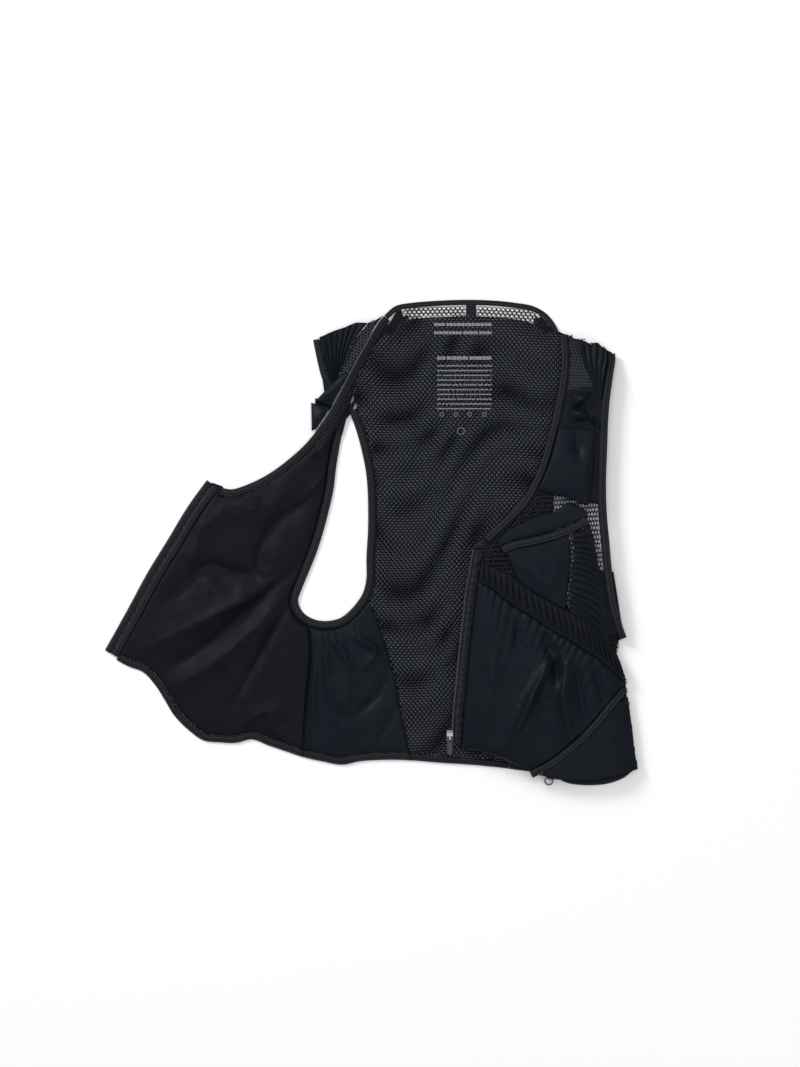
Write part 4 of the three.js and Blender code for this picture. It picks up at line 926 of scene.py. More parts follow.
# %% Collar
collar_top = beside(line["neck_back"], -(COLLAR_BINDING + SEAM))
collar_parts = [
    {"name": "collar_net_left", "start": 0.1, "end": 0.45},
    {"name": "collar_tab", "start": 0.45, "end": 0.51},
]
COLLAR_PANELS = [
    {"name": "collar_net_right", "south": [[69.95, 96.45], [74.2, 96.25], [78.2, 95.7], [80.3, 94.95]],
     "west": [[69.95, 96.45], [70.0, 98.65]], "east": [[80.3, 94.95], [81.3, 96.82]]},
    {"name": "collar_end_left", "south": [[51.5, 91.2], [56.3, 95.8]],
     "west": [[51.5, 91.2], [54.0, 95.9]], "east": [[56.3, 95.8], [55.8, 97.6]]},
    {"name": "collar_end_right", "south": [[80.7, 94.6], [83.2, 93.4]],
     "west": [[80.7, 94.6], [81.7, 96.5]], "east": [[83.2, 93.4], [83.8, 93.9]]},
]
collar_grids = {
    part["name"]: band(part_of(collar_top, part["start"], part["end"], SEAM), -COLLAR_DEPTH, rows=9)
    for part in collar_parts
}
for part in COLLAR_PANELS:
    south, west, east = (smooth(part[side]) for side in ("south", "west", "east"))
    collar_grids[part["name"]] = panel(south, collar_top, west, east, cell=1.5 * MM)
for name, grid in collar_grids.items():
    if "net" in name:
        net(f"{name}_threads", outline_of(grid), NET_PITCH * (1.05, 1.1), 0.66,
            lambda p: COLLAR_NET_LIFT + neck_ridge(p), 0.3 * MM, NET_SINGLE,
            turn=0.02 if "left" in name else -0.06, node=name)
    else:
        finish = HEM_TAPE if name == "collar_tab" else LINING
        cloth(f"{name}_cloth", grid, neck_ridge, NET_WALL, finish, node=name)

# %% [markdown]
# ## Bindings and hems
# A binding is an elastic tape folded over the raw edge, so its section is a low arch, and two rows
# of slanting stitches run along it.

# %% Bindings


TUG = 0.12 * MM
TUG_PITCH = 4.4 * MM
BINDING_ARCH = 0.55


def binding(name, edge, width, height, node, wall=BINDING_WALL, trim=0.0, finish=BINDING):
    """A band along an edge with an arched section and a faint tug at each stitch."""
    whole = travelled(edge)[-1]
    run = stretch(edge, trim, whole - trim, len(edge))
    grid = band(run, width, rows=9)
    u, v = shares_of(grid)
    far = travelled(run)[-1]
    tug = TUG * np.sin(2 * np.pi * u * far / TUG_PITCH) * np.sin(np.pi * v)
    low = height(grid)
    thing = closed_sheet(name, grid, low, low + wall * arch(grid, BINDING_ARCH) + tug)
    return finish_piece(thing, node, finish)


BINDINGS = [
    {"name": "neck_binding_left", "line": "neck_left", "width": -NECK_BINDING,
     "lie": neck_ridge, "trim": SEAM},
    {"name": "neck_binding_back", "line": "neck_back", "width": -COLLAR_BINDING,
     "lie": neck_ridge, "trim": SEAM},
    {"name": "neck_binding_right", "line": "neck_right", "width": NECK_BINDING,
     "lie": front_lie, "trim": SEAM},
    {"name": "armhole_binding_left", "line": "armhole_left", "width": ARMHOLE_BINDING,
     "lie": ground, "trim": 0},
    {"name": "armhole_binding_right_back", "line": "armhole_hidden", "width": -ARMHOLE_BINDING,
     "lie": ground, "trim": 0},
    {"name": "armhole_binding_right_front", "line": "armhole_right", "width": ARMHOLE_BINDING,
     "lie": front_lie, "trim": 0},
]
PIECE_NAMES = {
    "armhole_binding_right_back": "armhole_binding_hidden_tape",
    "armhole_binding_right_front": "armhole_binding_right_tape",
}
for row in BINDINGS:
    node = row["name"]
    binding(PIECE_NAMES.get(node, f"{node}_tape"), line[row["line"]], row["width"], row["lie"], node,
            trim=row["trim"])

# %% [markdown]
# Where two pieces meet, a dark tape lies under the seam, so that no floor shows between them. A thin
# pale strip along the edge of the left neck binding is a painted highlight, where that edge catches the
# light.

# %% Seam tapes and the painted highlight of the neck edge
SEAM_TAPES = [
    {"name": "side_seam_tape", "middle": line["side_seam"], "side": -1},
    {"name": "net_border_tape", "middle": line["net_border"], "side": -1},
    {"name": "armhole_seam_tape", "middle": beside(line["armhole_left"], ARMHOLE_BINDING), "side": 1},
    {"name": "zip_seam_tape", "middle": beside(line["zip_left"], -inset["zip_left"]), "side": -1},
]
for tape in SEAM_TAPES:
    edge = beside(tape["middle"], -tape["side"] * SEAM_TAPE / 2)
    cloth(tape["name"], band(edge, tape["side"] * SEAM_TAPE, rows=3), lambda p: SEAM_TAPE_LIFT + ground(p),
          SEAM_TAPE_WALL, STRETCH)
# The pale strip along the left neck binding is a painted highlight, not a mark on the cloth.
rim_length = travelled(line["neck_left"])[-1]
rim = stretch(beside(line["neck_left"], 0.1 * MM), 0.5 * rim_length, 0.995 * rim_length, 160)
cloth("neck_rim_painted_highlight", band(rim, -RIM_WIDTH, rows=5), lambda p: neck_ridge(p) + RIM_LIFT, RIM_WALL, EDGE_HIGHLIGHT,
      round_edge=0.6)

# %% Hems
hem_runs = [
    {"name": "hem_left_front", "west": beside(line["zip_left"], -inset["zip_left"]),
     "east": beside(line["side_seam"], SEAM)},
    {"name": "hem_left_side", "west": beside(line["side_seam"], -SEAM),
     "east": beside(line["net_border"], SEAM)},
    {"name": "hem_back", "west": beside(line["net_border"], -SEAM),
     "east": beside(line["net_border_right"], SEAM)},
    {"name": "hem_right_side", "west": beside(line["net_border_right"], -SEAM),
     "east": beside(line["side_fold"], 2 * SEAM)},
]
for run in hem_runs:
    grid = panel(line["hem"], beside(line["hem"], HEM_BAND), run["west"], run["east"], cell=1.2 * MM)
    cloth(f"{run['name']}_tape", grid, ground, BAND_WALL, HEM_TAPE, node=run["name"],
          round_edge=0.5)

# %% [markdown]
# Small facings close the corners where several edges meet: beside the collar, at the top of the
# left armhole, at the top of the left zip and where the back's neck runs into the folded shoulder.

# %% Facings
FACINGS = [
    {"name": "armhole_tip_facing", "corners": [[43.4, 72.6], [45.6, 77.6], [47.4, 80.0], [46.6, 76.9]],
     "over": 0.4, "finish": STRETCH},
    {"name": "strap_flap", "corners": [[43.2, 69.0], [43.5, 75.2], [45.9, 77.3], [44.7, 72.2]],
     "over": 0.6, "finish": STRETCH},
    {"name": "zip_top_facing", "corners": [[20.6, 59.0], [20.2, 62.3], [22.3, 61.5], [22.5, 58.8]],
     "over": 0.2, "finish": LINING},
    {"name": "neck_left_facing", "corners": [[48.6, 87.2], [51.8, 94.0], [57.0, 96.9], [57.2, 94.6]],
     "over": 0.1, "finish": STRETCH},
    {"name": "neck_right_facing", "corners": [[79.6, 92.6], [80.9, 96.6], [85.0, 93.2], [85.9, 90.2]],
     "over": 0.1, "finish": STRETCH},
    {"name": "yoke_foot_facing", "corners": [[41.4, 80.1], [41.0, 83.4], [44.2, 85.0], [43.6, 82.6]],
     "over": 0.0, "finish": STRETCH},
    {"name": "sleeve_roll_facing", "corners": [[39.6, 77.0], [39.6, 79.6], [42.6, 79.4], [42.9, 77.2]],
     "over": 0.0, "finish": BACKING},
    {"name": "shoulder_corner_facing", "corners": [[84.2, 91.2], [84.8, 93.6], [86.9, 92.6], [86.6, 90.6]],
     "over": 0.0, "finish": BINDING},
]


def patch(corners, count=26):
    """Grid of a four-sided patch, its corners clockwise from the lower left."""
    sw, nw, ne, se = place(corners)
    side = [np.linspace(a, b, count) for a, b in ((sw, se), (nw, ne), (sw, nw), (se, ne))]
    return coons(*side)


for facing in FACINGS:
    grid = patch(facing["corners"], 14)
    cloth(facing["name"], grid, neck_ridge(grid) + facing["over"] * MM, FACING_WALL, facing["finish"])

# %% [markdown]
# ## The left front, inside up
# One large soft panel. Long drag lines run from the armhole down to the hem and to the zip, because
# the strap pulls the cloth there. Each is a row of the table below.

# %% Left front
LINING_FOLDS = [
    {"route": [[20.3, 58.6], [18.6, 55.6], [17.8, 51.4], [16.7, 46.3], [16.5, 42.8]],
     "reach": 1.3, "rise": 0.35},
    {"route": [[24.0, 59.3], [22.1, 56.6], [18.0, 52.5]], "reach": 1.7, "rise": 0.4},
    {"route": [[28.5, 42.8], [23.3, 43.8], [18.6, 44.2], [14.6, 40.1], [10.5, 36.8]],
     "reach": 2.6, "rise": -0.5},
    {"route": [[40.2, 61.1], [36.8, 57.6], [33.0, 54.5], [29.6, 49.4], [28.5, 43.8]],
     "reach": 1.9, "rise": -0.45},
    {"route": [[40.5, 49.4], [34.9, 43.8], [25.5, 34.4], [20.8, 29.8], [10.5, 22.6]],
     "reach": 2.0, "rise": -0.5},
    {"route": [[36.6, 40.1], [31.1, 30.7], [26.5, 21.2], [24.2, 16.9]], "reach": 1.1, "rise": -0.4},
    {"route": [[36.8, 46.3], [29.3, 40.1], [21.8, 35.6], [7.1, 27.8]], "reach": 2.1, "rise": 0.35},
    {"route": [[34.9, 40.1], [28.9, 32.9], [20.8, 25.3], [13.3, 20.0]], "reach": 2.2, "rise": 0.35},
    {"route": [[43.7, 67.9], [40.2, 62.1], [37.1, 58.2]], "reach": 1.1, "rise": 0.3},
    {"route": [[44.3, 71.4], [40.9, 69.1], [37.9, 67.3]], "reach": 1.1, "rise": 0.3},
    {"route": [[26.6, 13.0], [29.6, 14.8], [32.3, 15.0], [31.1, 12.8], [35.3, 7.8]],
     "reach": 1.3, "rise": 0.5},
    {"route": [[23.3, 58.6], [29.6, 57.6]], "reach": 3.5, "rise": 0.45},
]
zip_inner_left = beside(line["zip_left"], -inset["zip_left"])
lining_east = chain(
    beside(line["side_seam"], SEAM),
    beside(line["armhole_left"], inset["armhole"]),
    beside(line["strap_edge"], SEAM),
)
lining_grid = panel(beside(line["hem"], inset["hem"]), beside(line["neck_left"], -inset["neck"]),
                    zip_inner_left, lining_east, cell=1.7 * MM)
u, v = shares_of(lining_grid)
lining_low = dome(u, v, 0.35) * (1.7 * folds(lining_grid, LINING_FOLDS) + 1.2 * LINING_SWELL)
lining_low = lining_low + dome(u, v, 0.25) * MM * (
    1.2 * ruffle(lining_grid, 0.03, 3) + 0.5 * ruffle(lining_grid, 0.012, 4)
)
lining_low = np.maximum(lining_low, 0)
cloth("left_front_lining_cloth", lining_grid, lining_low + neck_ridge(lining_grid), LINING_WALL,
      LINING, node="left_front_lining")
binding("left_zip_tape_woven", line["zip_left"], -ZIP_BAND, ground, "left_zip_tape", wall=BAND_WALL,
        finish=ZIP_CLOTH)
binding("left_zip_facing_tape", beside(line["zip_left"], -(ZIP_BAND + SEAM)), -ZIP_BAND, ground,
        "left_zip_facing", wall=BAND_WALL, finish=HEM_TAPE)

# %% [markdown]
# The side panel under the armhole is pleated: its cloth is gathered into the armhole binding, so
# sharp pleats start there and fade towards the hem.

# %% Side panels
SIDE_FOLDS = [
    {"route": [[39.8, 29.8], [39.2, 19.5], [38.8, 8.2]], "reach": 0.9, "rise": 0.35},
    {"route": [[40.2, 30.5], [41.5, 26.7], [42.0, 19.5]], "reach": 1.0, "rise": 0.3},
    {"route": [[40.9, 31.1], [43.9, 28.8], [46.2, 24.1]], "reach": 1.0, "rise": 0.25},
    {"route": [[46.5, 31.1], [49.3, 29.4], [51.0, 27.6], [49.5, 24.5]], "reach": 1.0, "rise": 0.35},
    {"route": [[54.0, 24.1], [51.2, 18.5], [48.0, 15.4], [45.2, 13.8]], "reach": 1.2, "rise": -0.3},
    {"route": [[55.7, 16.5], [53.1, 12.3], [51.8, 9.9]], "reach": 1.0, "rise": -0.3},
    {"route": [[45.2, 27.8], [45.2, 9.3]], "reach": 4, "rise": 0.3},
]
side_grid = panel(beside(line["hem"], inset["hem"]), beside(line["armhole_left"], inset["armhole"])[::-1],
                  beside(line["side_seam"], -SEAM), beside(line["net_border"], SEAM), cell=1.5 * MM)
u, v = shares_of(side_grid)
gathered = 1.3 * MM * np.abs(np.sin(np.pi * (13 * u + 0.5 * np.sin(8 * u)))) * v**3
side_low = dome(u, v, 0.3) * (1.9 * folds(side_grid, SIDE_FOLDS) + 0.8 * LINING_SWELL + gathered)
side_low = np.maximum(side_low + 0.9 * MM * dome(u, v) * ruffle(side_grid, 0.022, 5), 0)
cloth("left_side_panel_cloth", side_grid, side_low, LINING_WALL, STRETCH,
      node="left_side_panel")
hidden_grid = panel(beside(line["hem"], inset["hem"]), beside(line["armhole_hidden"], -inset["armhole"]),
                    beside(line["net_border_right"], -SEAM), beside(line["side_fold"], 2 * SEAM), cell=4 * MM)
cloth("right_side_panel_cloth", hidden_grid, ground, LINING_WALL, STRETCH,
      node="right_side_panel")

# %% [markdown]
# ## The left shoulder, outside up
# The neck edge stands up here and the yoke falls away behind it. The yoke is cloth gathered into
# slanting pleats, with a stitched band along the armhole and a wedge of net next to the neck.

# %% Left shoulder
PLEATS = 7
PLEAT_RELIEF = 2.4 * MM
yoke_grid = panel(line["yoke_bottom"], line["yoke_top"], beside(line["yoke_west"], -(YOKE_BAND + SEAM)),
                  beside(line["yoke_seam"], SEAM), cell=0.9 * MM)
u, v = shares_of(yoke_grid)
pleats = PLEAT_RELIEF * np.abs(np.sin(np.pi * (PLEATS * u + 1.2 * v))) ** 0.7
cloth("left_yoke_cloth", yoke_grid, yoke_lie(yoke_grid) + pleats, LINING_WALL, STRETCH,
      node="left_yoke")
binding("left_yoke_band_tape", line["yoke_west"], -YOKE_BAND, yoke_lie, "left_yoke_band", wall=BAND_WALL)
shoulder_net = panel(smooth([[43.5, 84.8], [46.5, 85.0]]), line["yoke_top"], beside(line["yoke_seam"], -SEAM),
                     beside(line["neck_left"], 2 * SEAM), cell=2 * MM)
cloth("left_shoulder_backing", shoulder_net, yoke_lie, 0.6 * MM, BACKING,
      node="left_shoulder_net")
net("left_shoulder_threads", outline_of(shoulder_net), NET_PITCH * (0.9, 0.95), 0.6,
    lambda p: yoke_lie(p) + 1.0 * MM, 0.4 * MM, NET_EDGE, turn=0.6)

# %% [markdown]
# The flask sleeves of both shoulders are empty and crumpled. Each shows as a few smooth lobes.

# %% Sleeve lobes
SLEEVE_LOBES = [
    {"name": "left_sleeve_flap", "corners": [[39.6, 79.0], [44.6, 84.75], [46.0, 84.85], [42.55, 77.9]],
     "base": neck_ridge, "swell": 0.5},
    {"name": "left_sleeve_roll", "corners": [[38.95, 72.9], [38.85, 78.7], [42.4, 77.7], [39.75, 73.25]],
     "base": neck_ridge, "swell": 0.45},
    {"name": "right_sleeve_roll", "corners": [[87.6, 77.4], [87.9, 80.4], [91.4, 80.9], [89.6, 78.2]],
     "base": on_front, "swell": 0.75},
    {"name": "right_sleeve_flap", "corners": [[87.0, 74.4], [87.3, 77.0], [89.8, 77.8], [91.0, 75.3]],
     "base": on_front, "swell": 0.55},
    {"name": "right_sleeve_corner", "corners": [[91.2, 73.9], [91.2, 75.3], [91.8, 76.2], [92.2, 73.9]],
     "base": on_front, "swell": 0.5},
]

for number, lobe in enumerate(SLEEVE_LOBES):
    grid = patch(lobe["corners"])
    u, v = shares_of(grid)
    swell = lobe["swell"] * FOLD_HEIGHT * dome(u, v, 0.8) * (1 + 0.2 * np.sin(5 * u + 3 * v + number))
    cloth(f"{lobe['name']}_cloth", grid, lobe["base"](grid) + swell, POCKET_WALL, POCKET,
          node=lobe["name"])

# %% [markdown]
# ## The right front, outside up
# A net carries everything here. Over it lie the yoke, the flask sleeve, the small upper pocket, the
# shirred strip, the gathered band and the big pocket. Where nothing covers the net, the floor shows
# through it.

# %% Net of the right front
front_west = chain(beside(line["zip_right"], -inset["zip_right"]),
                   beside(line["neck_right"][::-1], -inset["neck"]))
front_east = chain(beside(line["side_fold"], SEAM), beside(line["armhole_right"], ARMHOLE_BINDING + SEAM))
front_grid = panel(beside(line["front_bottom"], SEAM), beside(line["shoulder_fold"], -SEAM), front_west,
                   front_east, cell=4 * MM)
net("right_front_threads", outline_of(front_grid), NET_PITCH[::-1] * (1.0, 1.05), 0.64, front_lie, 0.4 * MM,
    NET_SINGLE, turn=0.06, node="right_front_net")

# %% [markdown]
# The inside of the flask sleeve closes the net down to its foot, and a strip does so beside the
# shirred part. Between them the net is open, and only there does the floor show. A finer net lies on
# the shoulder.

# %% Sleeve backing
backing_grid = panel(smooth([[80.0, 60.2], [84.5, 60.4], [90.0, 58.5], [95.0, 57.0]]),
                     beside(line["shoulder_fold"], -2 * SEAM), beside(line["neck_right"][::-1], -3 * MM),
                     beside(line["armhole_right"], 3 * MM), cell=3 * MM)
cloth("flask_sleeve_backing", backing_grid, front_lie(backing_grid) + BACKING_LIFT, BACKING_WALL, STRETCH)
shoulder_grid = panel(smooth([[86.5, 81.0], [93.0, 82.5]]), beside(line["shoulder_fold"], -2 * SEAM),
                      beside(line["neck_right"][::-1], -inset["neck"]),
                      smooth([[92.8, 80.5], [91.4, 84.5], [90.0, 88.0], [88.9, 92.5]]), cell=3 * MM)
net("right_shoulder_threads", outline_of(shoulder_grid), NET_PITCH * (0.9, 0.95), 0.6,
    lambda p: front_lie(p) + 1.2 * MM, 0.4 * MM, NET_EDGE, turn=0.9)
shirred_foot = panel(smooth([[92.6, 30.5], [97.6, 31.0]]), smooth([[92.0, 44.5], [95.0, 44.0]]),
                     smooth([[92.6, 30.5], [92.0, 44.5]]), smooth([[97.4, 30.0], [95.4, 44.0]]), cell=2 * MM)
cloth("shirred_foot_backing", shirred_foot, front_lie(shirred_foot) + BACKING_LIFT, BACKING_WALL, STRETCH)

# %% Yoke and flask sleeve of the right front
yoke_grid = panel(smooth([[92.4, 79.7], [93.8, 79.2]]),
                  beside(line["shoulder_fold"], -SEAM),
                  smooth([[92.7, 79.4], [91.2, 83.3], [89.9, 87.0], [88.7, 91.5]]),
                  beside(line["armhole_right"], ARMHOLE_BINDING + SEAM), cell=0.9 * MM)
u, v = shares_of(yoke_grid)
pleats = PLEAT_RELIEF * np.abs(np.sin(np.pi * (0.6 * PLEATS * u - v))) ** 0.7 * v
cloth("right_yoke_cloth", yoke_grid, on_front(yoke_grid) + pleats, LINING_WALL, STRETCH,
      node="right_yoke")
SLEEVE_FOLDS = [
    {"route": [[88.7, 73.6], [88.9, 67.7]], "reach": 1.7, "rise": -0.45},
    {"route": [[91.5, 70.0], [89.5, 60.0]], "reach": 1.5, "rise": 0.25},
]
sleeve_grid = panel(smooth([[81.6, 60.8], [86.5, 59.1], [90.8, 57.4]]), smooth([[85.0, 73.7], [92.0, 73.1]]),
                    beside(line["neck_right"][::-1], -inset["neck"]),
                    smooth([[90.6, 57.4], [91.4, 62.8], [91.8, 67.9], [92.0, 73.2]]), cell=1.2 * MM)
u, v = shares_of(sleeve_grid)
sleeve = 0.8 * POCKET_SWELL + 1.6 * folds(sleeve_grid, SLEEVE_FOLDS) + MM * ruffle(sleeve_grid, 0.02, 15)
sleeve = np.maximum(dome(u, v) * sleeve, 0)
cloth("right_flask_sleeve_cloth", sleeve_grid, on_front(sleeve_grid) + sleeve, POCKET_WALL, POCKET,
      node="right_flask_sleeve")

# %% Upper pocket
trim_low = beside(line["upper_pocket_trim"], -POCKET_TRIM)
top_grid = panel(beside(line["upper_pocket_trim"], SEAM), line["upper_pocket_top"],
                 smooth([[74.0, 49.0], [73.7, 50.4]]), smooth([[90.4, 55.0], [90.4, 56.6]]), cell=1.2 * MM)
u, v = shares_of(top_grid)
cloth("upper_pocket_top_cloth", top_grid, on_front(top_grid) + 0.8 * MM * dome(u, v), POCKET_WALL, POCKET,
      node="upper_pocket_top")
binding("upper_pocket_trim_tape", line["upper_pocket_trim"], -POCKET_TRIM, on_front, "upper_pocket_trim",
        wall=BAND_WALL)
pocket_grid = panel(beside(line["gather_top"], SEAM), beside(trim_low, -SEAM), line["upper_pocket_west"],
                    line["upper_pocket_east"], cell=1.2 * MM)
u, v = shares_of(pocket_grid)
pocket_low = on_front(pocket_grid) + dome(u, v) * (
    0.6 * POCKET_SWELL + 1.4 * MM * ruffle(pocket_grid, 0.016, 8)
)
cloth("upper_pocket_cloth", pocket_grid, pocket_low, POCKET_WALL, POCKET, node="upper_pocket")

# %% [markdown]
# Elastic makes two kinds of ruffle here. The shirred strip has ribs across it, one for each row of
# shirring. The band over the big pocket has rounded gathers between two rows of stitches.

# %% Shirred strip and gathered band
RIBS = 15
RIB_RELIEF = 2.6 * MM
GATHERS = 24
GATHER_RELIEF = 3.4 * MM
shirred_grid = panel(beside(line["gather_top"], SEAM), beside(trim_low, -SEAM), line["shirred_west"],
                     line["shirred_east"], cell=0.9 * MM)
u, v = shares_of(shirred_grid)
wander = 0.35 * np.sin(7 * v + 2 * u)
ribs = RIB_RELIEF * np.abs(np.sin(np.pi * (RIBS * v + wander))) ** 0.6
ribs = ribs * (0.4 + 0.6 * np.sin(np.pi * u) ** 0.6)
cloth("shirred_side_cloth", shirred_grid, on_front(shirred_grid) + ribs, POCKET_WALL, RIBBED,
      node="shirred_side_panel")
gather_grid = panel(line["gather_stitch"], line["gather_top"], beside(line["zip_right"], -inset["zip_right"]),
                    beside(line["side_fold"], 2 * SEAM), cell=0.9 * MM)
u, v = shares_of(gather_grid)
pinch = 0.3 + 0.7 * np.sin(np.pi * np.clip(1.15 * v - 0.05, 0, 1)) ** 0.8
turns = GATHERS * u + 0.3 * np.sin(9 * u) + 0.35 * v
gathers = GATHER_RELIEF * np.abs(np.sin(np.pi * turns)) ** 0.6 * pinch
cloth("gathered_band_cloth", gather_grid, on_front(gather_grid) + gathers, BAND_WALL, RIBBED,
      node="gathered_band")

# %% [markdown]
# The big pocket bulges a little and falls in long soft folds from the gathers to the diagonal tape.
# Short pleats run down from the stitch line, because the cloth is wider than the elastic.

# %% Main pocket
POCKET_FOLDS = [
    {"route": [[83.3, 25.7], [79.9, 18.1], [77.1, 11.3], [75.0, 6.2]], "reach": 1.4, "rise": 0.6},
    {"route": [[84.8, 27.4], [84.6, 21.6]], "reach": 1.1, "rise": -0.4},
    {"route": [[82.0, 33.5], [82.9, 29.8], [83.7, 26.1]], "reach": 1.0, "rise": -0.35},
    {"route": [[86.7, 24.7], [85.9, 17.5], [87.4, 9.7]], "reach": 1.3, "rise": 0.45},
    {"route": [[91.6, 25.7], [93.1, 19.5], [93.8, 16.0]], "reach": 1.2, "rise": -0.4},
    {"route": [[88.4, 24.7], [89.3, 17.5], [90.2, 13.0]], "reach": 1.1, "rise": -0.3},
    {"route": [[72.4, 38.1], [72.8, 25.7], [70.5, 9.3]], "reach": 2.5, "rise": 0.25},
    {"route": [[77.1, 35.6], [77.7, 27.8]], "reach": 1.1, "rise": -0.25},
]
main_grid = panel(line["front_bottom"], beside(line["gather_stitch"], -SEAM),
                  beside(line["zip_right"], -inset["zip_right"]), beside(line["diagonal"], SEAM),
                  cell=1.3 * MM)
u, v = shares_of(main_grid)
tucks = np.abs(np.sin(np.pi * (20 * u + 0.5 * np.sin(11 * u)))) * v**6 * 2.2 * MM
bulge = POCKET_SWELL + 2.0 * folds(main_grid, POCKET_FOLDS) + 1.1 * MM * ruffle(main_grid, 0.028, 11)
bulge = dome(u, v, 0.35) * (bulge + 0.4 * MM * ruffle(main_grid, 0.011, 12))
main_low = on_front(main_grid) + np.maximum(bulge, 0) + tucks * dome(u, np.full_like(v, 0.5), 0.3)
cloth("main_pocket_cloth", main_grid, main_low, POCKET_WALL, POCKET, node="main_pocket")
binding("diagonal_binding_tape", line["diagonal"], -DIAGONAL_TAPE, on_front, "diagonal_binding",
        wall=BAND_WALL)
corner_grid = panel(line["front_bottom"], smooth([[96.3, 17.0], [99.2, 18.9]]),
                    beside(line["diagonal"], -(DIAGONAL_TAPE + SEAM)), line["side_fold"], cell=1.5 * MM)
u, v = shares_of(corner_grid)
corner_low = on_front(corner_grid) + 0.5 * MM * dome(u, v) * (1 + ruffle(corner_grid, 0.02, 13))
cloth("right_front_side_cloth", corner_grid, corner_low, LINING_WALL, STRETCH,
      node="right_front_side")

# %% [markdown]
# ## The zip
# The coil is a row of small loops. It stands at the edge of its woven tape. The slider, its pull and
# the ring at the hem are hard pieces and keep the solids of the frame, dressed in their own finish.

# %% Zip
SLIDER_END = 12.3 * MM
coil_line = stretch(line["zip_right"], SLIDER_END, travelled(line["zip_right"])[-1], 400)
coil_grid = band(coil_line, -COIL_WIDTH, rows=7, cell=0.35 * MM)
u, v = shares_of(coil_grid)
teeth = 0.5 + 0.5 * np.cos(2 * np.pi * u * travelled(coil_line)[-1] / (1.5 * MM))
coil_low = front_lie(coil_grid)
coil_high = coil_low + (0.9 + 0.9 * teeth * np.sin(np.pi * v) ** 0.5) * MM
coil = closed_sheet("zip_coil_loops", coil_grid, coil_low, coil_high)
finish_piece(coil, "zip_coil", NYLON)
tape_line = beside(line["zip_right"], -(COIL_WIDTH + SEAM))
tape_grid = band(tape_line, -ZIP_TAPE, rows=11, cell=1 * MM)
u, v = shares_of(tape_grid)
pucker = 0.6 * MM * np.sin(2 * np.pi * (26 * u + 0.6 * np.sin(17 * u))) * np.sin(np.pi * v)
tape_low = front_lie(tape_grid) + 0.6 * MM * np.sin(np.pi * v) + pucker
cloth("zip_tape_woven", tape_grid, tape_low, LINING_WALL, ZIP_CLOTH, node="zip_tape")
GARAGE_CORNERS = [[69.15, 48.8], [71.0, 50.8], [72.0, 49.7], [71.1, 48.75]]
garage_grid = patch(GARAGE_CORNERS, 14)
u, v = shares_of(garage_grid)
cloth("zip_garage_tape", garage_grid, front_lie(garage_grid) + 0.15 * FOLD_HEIGHT * dome(u, v), POCKET_WALL,
      HEM_TAPE, node="zip_garage")
kept = {"zip_slider": SLIDER, "zip_pull": PULL, "hem_ring": RING, "hem_ring_loop": NYLON}
for name, finish in kept.items():
    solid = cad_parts[name]
    solid.data.materials.clear()
    solid.data.materials.append(finish)

# %% [markdown]
# ## The print inside the back
# A pale print sits on the net's threads. It is kept plain here: rows of small bars and a few rings.

# %% Print


def bars(name, rows, seed):
    """Rows of small bars: each row is [left, right, along, tall, mean length] in percent and metres."""
    draw = np.random.default_rng(seed)
    boxes = []
    for left, right, along, tall, mean in rows:
        x, y = place([left, along])
        end = place([right, along])[0]
        while x < end:
            size = min(mean * draw.uniform(0.6, 1.5), end - x)
            boxes.append([x, y - tall / 2, x + size, y + tall / 2])
            x += size + draw.choice([0.35, 0.5, 1.3], p=[0.5, 0.35, 0.15]) * MM
    low = np.array(boxes)
    flat = np.stack([low[:, [0, 1]], low[:, [2, 1]], low[:, [2, 3]], low[:, [0, 3]]], axis=1).reshape(-1, 2)
    height = PRINT_LIFT + neck_ridge(flat)
    faces = np.arange(len(flat)).reshape(-1, 4)
    print(name, len(boxes), "bars")
    thing = add_mesh(name, np.column_stack([flat, height]), faces)
    return finish_piece(thing, None, PRINT)


RING_POINTS = 28


def plain_ring(name, middle, radius, stroke):
    """A flat ring: two circles of points joined by quads."""
    turn = np.linspace(0, 2 * np.pi, RING_POINTS, endpoint=False)
    spokes = np.column_stack([np.cos(turn), np.sin(turn)])
    flat = np.vstack([spokes * radius, spokes * (radius - stroke)]) + place(middle)
    k = np.arange(RING_POINTS)
    faces = np.stack([k, np.roll(k, -1), np.roll(k, -1) + RING_POINTS, k + RING_POINTS], axis=-1)
    points = np.column_stack([flat, PRINT_LIFT + neck_ridge(flat)])
    return finish_piece(add_mesh(name, points, faces), None, PRINT)


block = [[61.9, 72.7, 94.8, 2.6 * MM, 2.4 * MM], [61.9, 72.7, 93.1, 2.6 * MM, 2.2 * MM]]
heading = [[62.5, 72.6, 87.9, 3.0 * MM, 2.4 * MM]]
ROWS_OF_SMALL_BARS = 10
small = [[62.5, 72.7, 86.3 - 0.98 * k, 1.1 * MM, 1.7 * MM] for k in range(ROWS_OF_SMALL_BARS)]
bars("print_block", block, 21)
bars("print_heading", heading, 22)
bars("print_lines", small, 23)
for number, across in enumerate((63.3, 66.0, 68.6, 71.3)):
    plain_ring(f"print_ring_{number + 1}", [across, 76.3], 1.9 * MM, 0.45 * MM)
plain_ring("print_ring_low", [66.9, 72.9], 3.3 * MM, 0.45 * MM)

# %% [markdown]
# ## Floor, light and camera
# The vest was photographed from straight above on a white floor in very soft light. A wide lamp
# overhead and the white room around it light all of it. A smaller, stronger one from the upper left
# and a weak one from below model the folds.

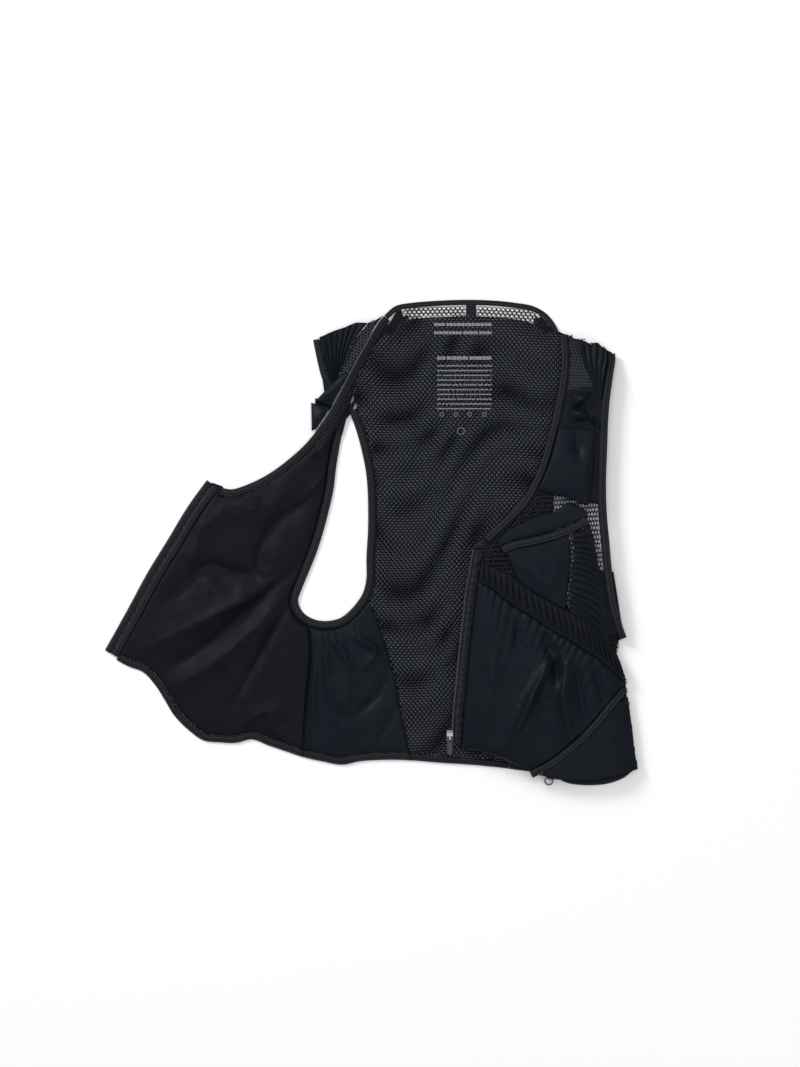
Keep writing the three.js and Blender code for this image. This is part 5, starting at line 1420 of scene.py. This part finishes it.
# %% Stage
FLOOR_SIZE = 6.0
FLOOR_DROP = 0.5 * MM
bpy.ops.mesh.primitive_plane_add(size=FLOOR_SIZE, location=(0, 0, -FLOOR_DROP))
floor = bpy.context.object
floor.name = "floor"
white, _, shader = new_material("white_floor")
shader.inputs["Base Color"].default_value = (0.93, 0.93, 0.93, 1)
shader.inputs["Roughness"].default_value = 0.9
floor.data.materials.append(white)


def lamp(name, place_m, size, watts):
    """A square area lamp that looks at the middle of the vest."""
    data = bpy.data.lights.new(name, "AREA")
    data.size = size
    data.energy = watts
    thing = bpy.data.objects.new(name, data)
    bpy.context.scene.collection.objects.link(thing)
    thing.location = place_m
    thing.rotation_euler = Vector(place_m).to_track_quat("Z", "Y").to_euler()
    return thing


LAMPS = [
    {"name": "overhead", "place": (0.1, 0.2, 2.2), "size": 1.8, "watts": 16},
    {"name": "upper_left", "place": (-1.3, 1.3, 1.1), "size": 0.7, "watts": 34},
    {"name": "lower_right", "place": (1.3, -1.1, 1.0), "size": 0.8, "watts": 6},
]
for row in LAMPS:
    lamp(row["name"], row["place"], row["size"], row["watts"])
ROOM_STRENGTH = 0.45
world = bpy.data.worlds.new("white_room")
world.use_nodes = True
background = world.node_tree.nodes["Background"]
background.inputs["Color"].default_value = (1, 1, 1, 1)
background.inputs["Strength"].default_value = ROOM_STRENGTH
bpy.context.scene.world = world
bpy.context.scene.view_settings.view_transform = "Standard"

# %% Camera
FRAME_WIDTH_PX, FRAME_HEIGHT_PX = 800, 1067
METRES_PER_PX = 0.0009
LEFT_EDGE_PX, LOWEST_EDGE_PX = 104, 785
DISTANCE = 3.0
SENSOR_MM = 36
centre_x = (FRAME_WIDTH_PX / 2 - LEFT_EDGE_PX) * METRES_PER_PX + PLAN_SHIFT[0]
centre_y = (LOWEST_EDGE_PX - FRAME_HEIGHT_PX / 2) * METRES_PER_PX + PLAN_SHIFT[1]
lens = bpy.data.cameras.new("camera")
lens.sensor_width = SENSOR_MM
lens.lens = SENSOR_MM * DISTANCE / (FRAME_HEIGHT_PX * METRES_PER_PX)
camera = bpy.data.objects.new("camera", lens)
camera.location = (centre_x, centre_y, DISTANCE)
bpy.context.scene.collection.objects.link(camera)
bpy.context.scene.camera = camera

# %% [markdown]
# ## What the sheets were cut to
# The last lines print each sheet's flat size, the size it was cut to. Tapes narrower than a centimetre
# are left out, because they are narrower than a declared sheet may be.

# %% Finish
NARROWEST_SHEET = 10 * MM
for sheet in sheets:
    if min(sheet["flat"]) < NARROWEST_SHEET:
        continue
    print(f"{sheet['piece'].name}: {sheet['flat'][0] * 1000:.0f} x {sheet['flat'][1] * 1000:.0f} mm flat")
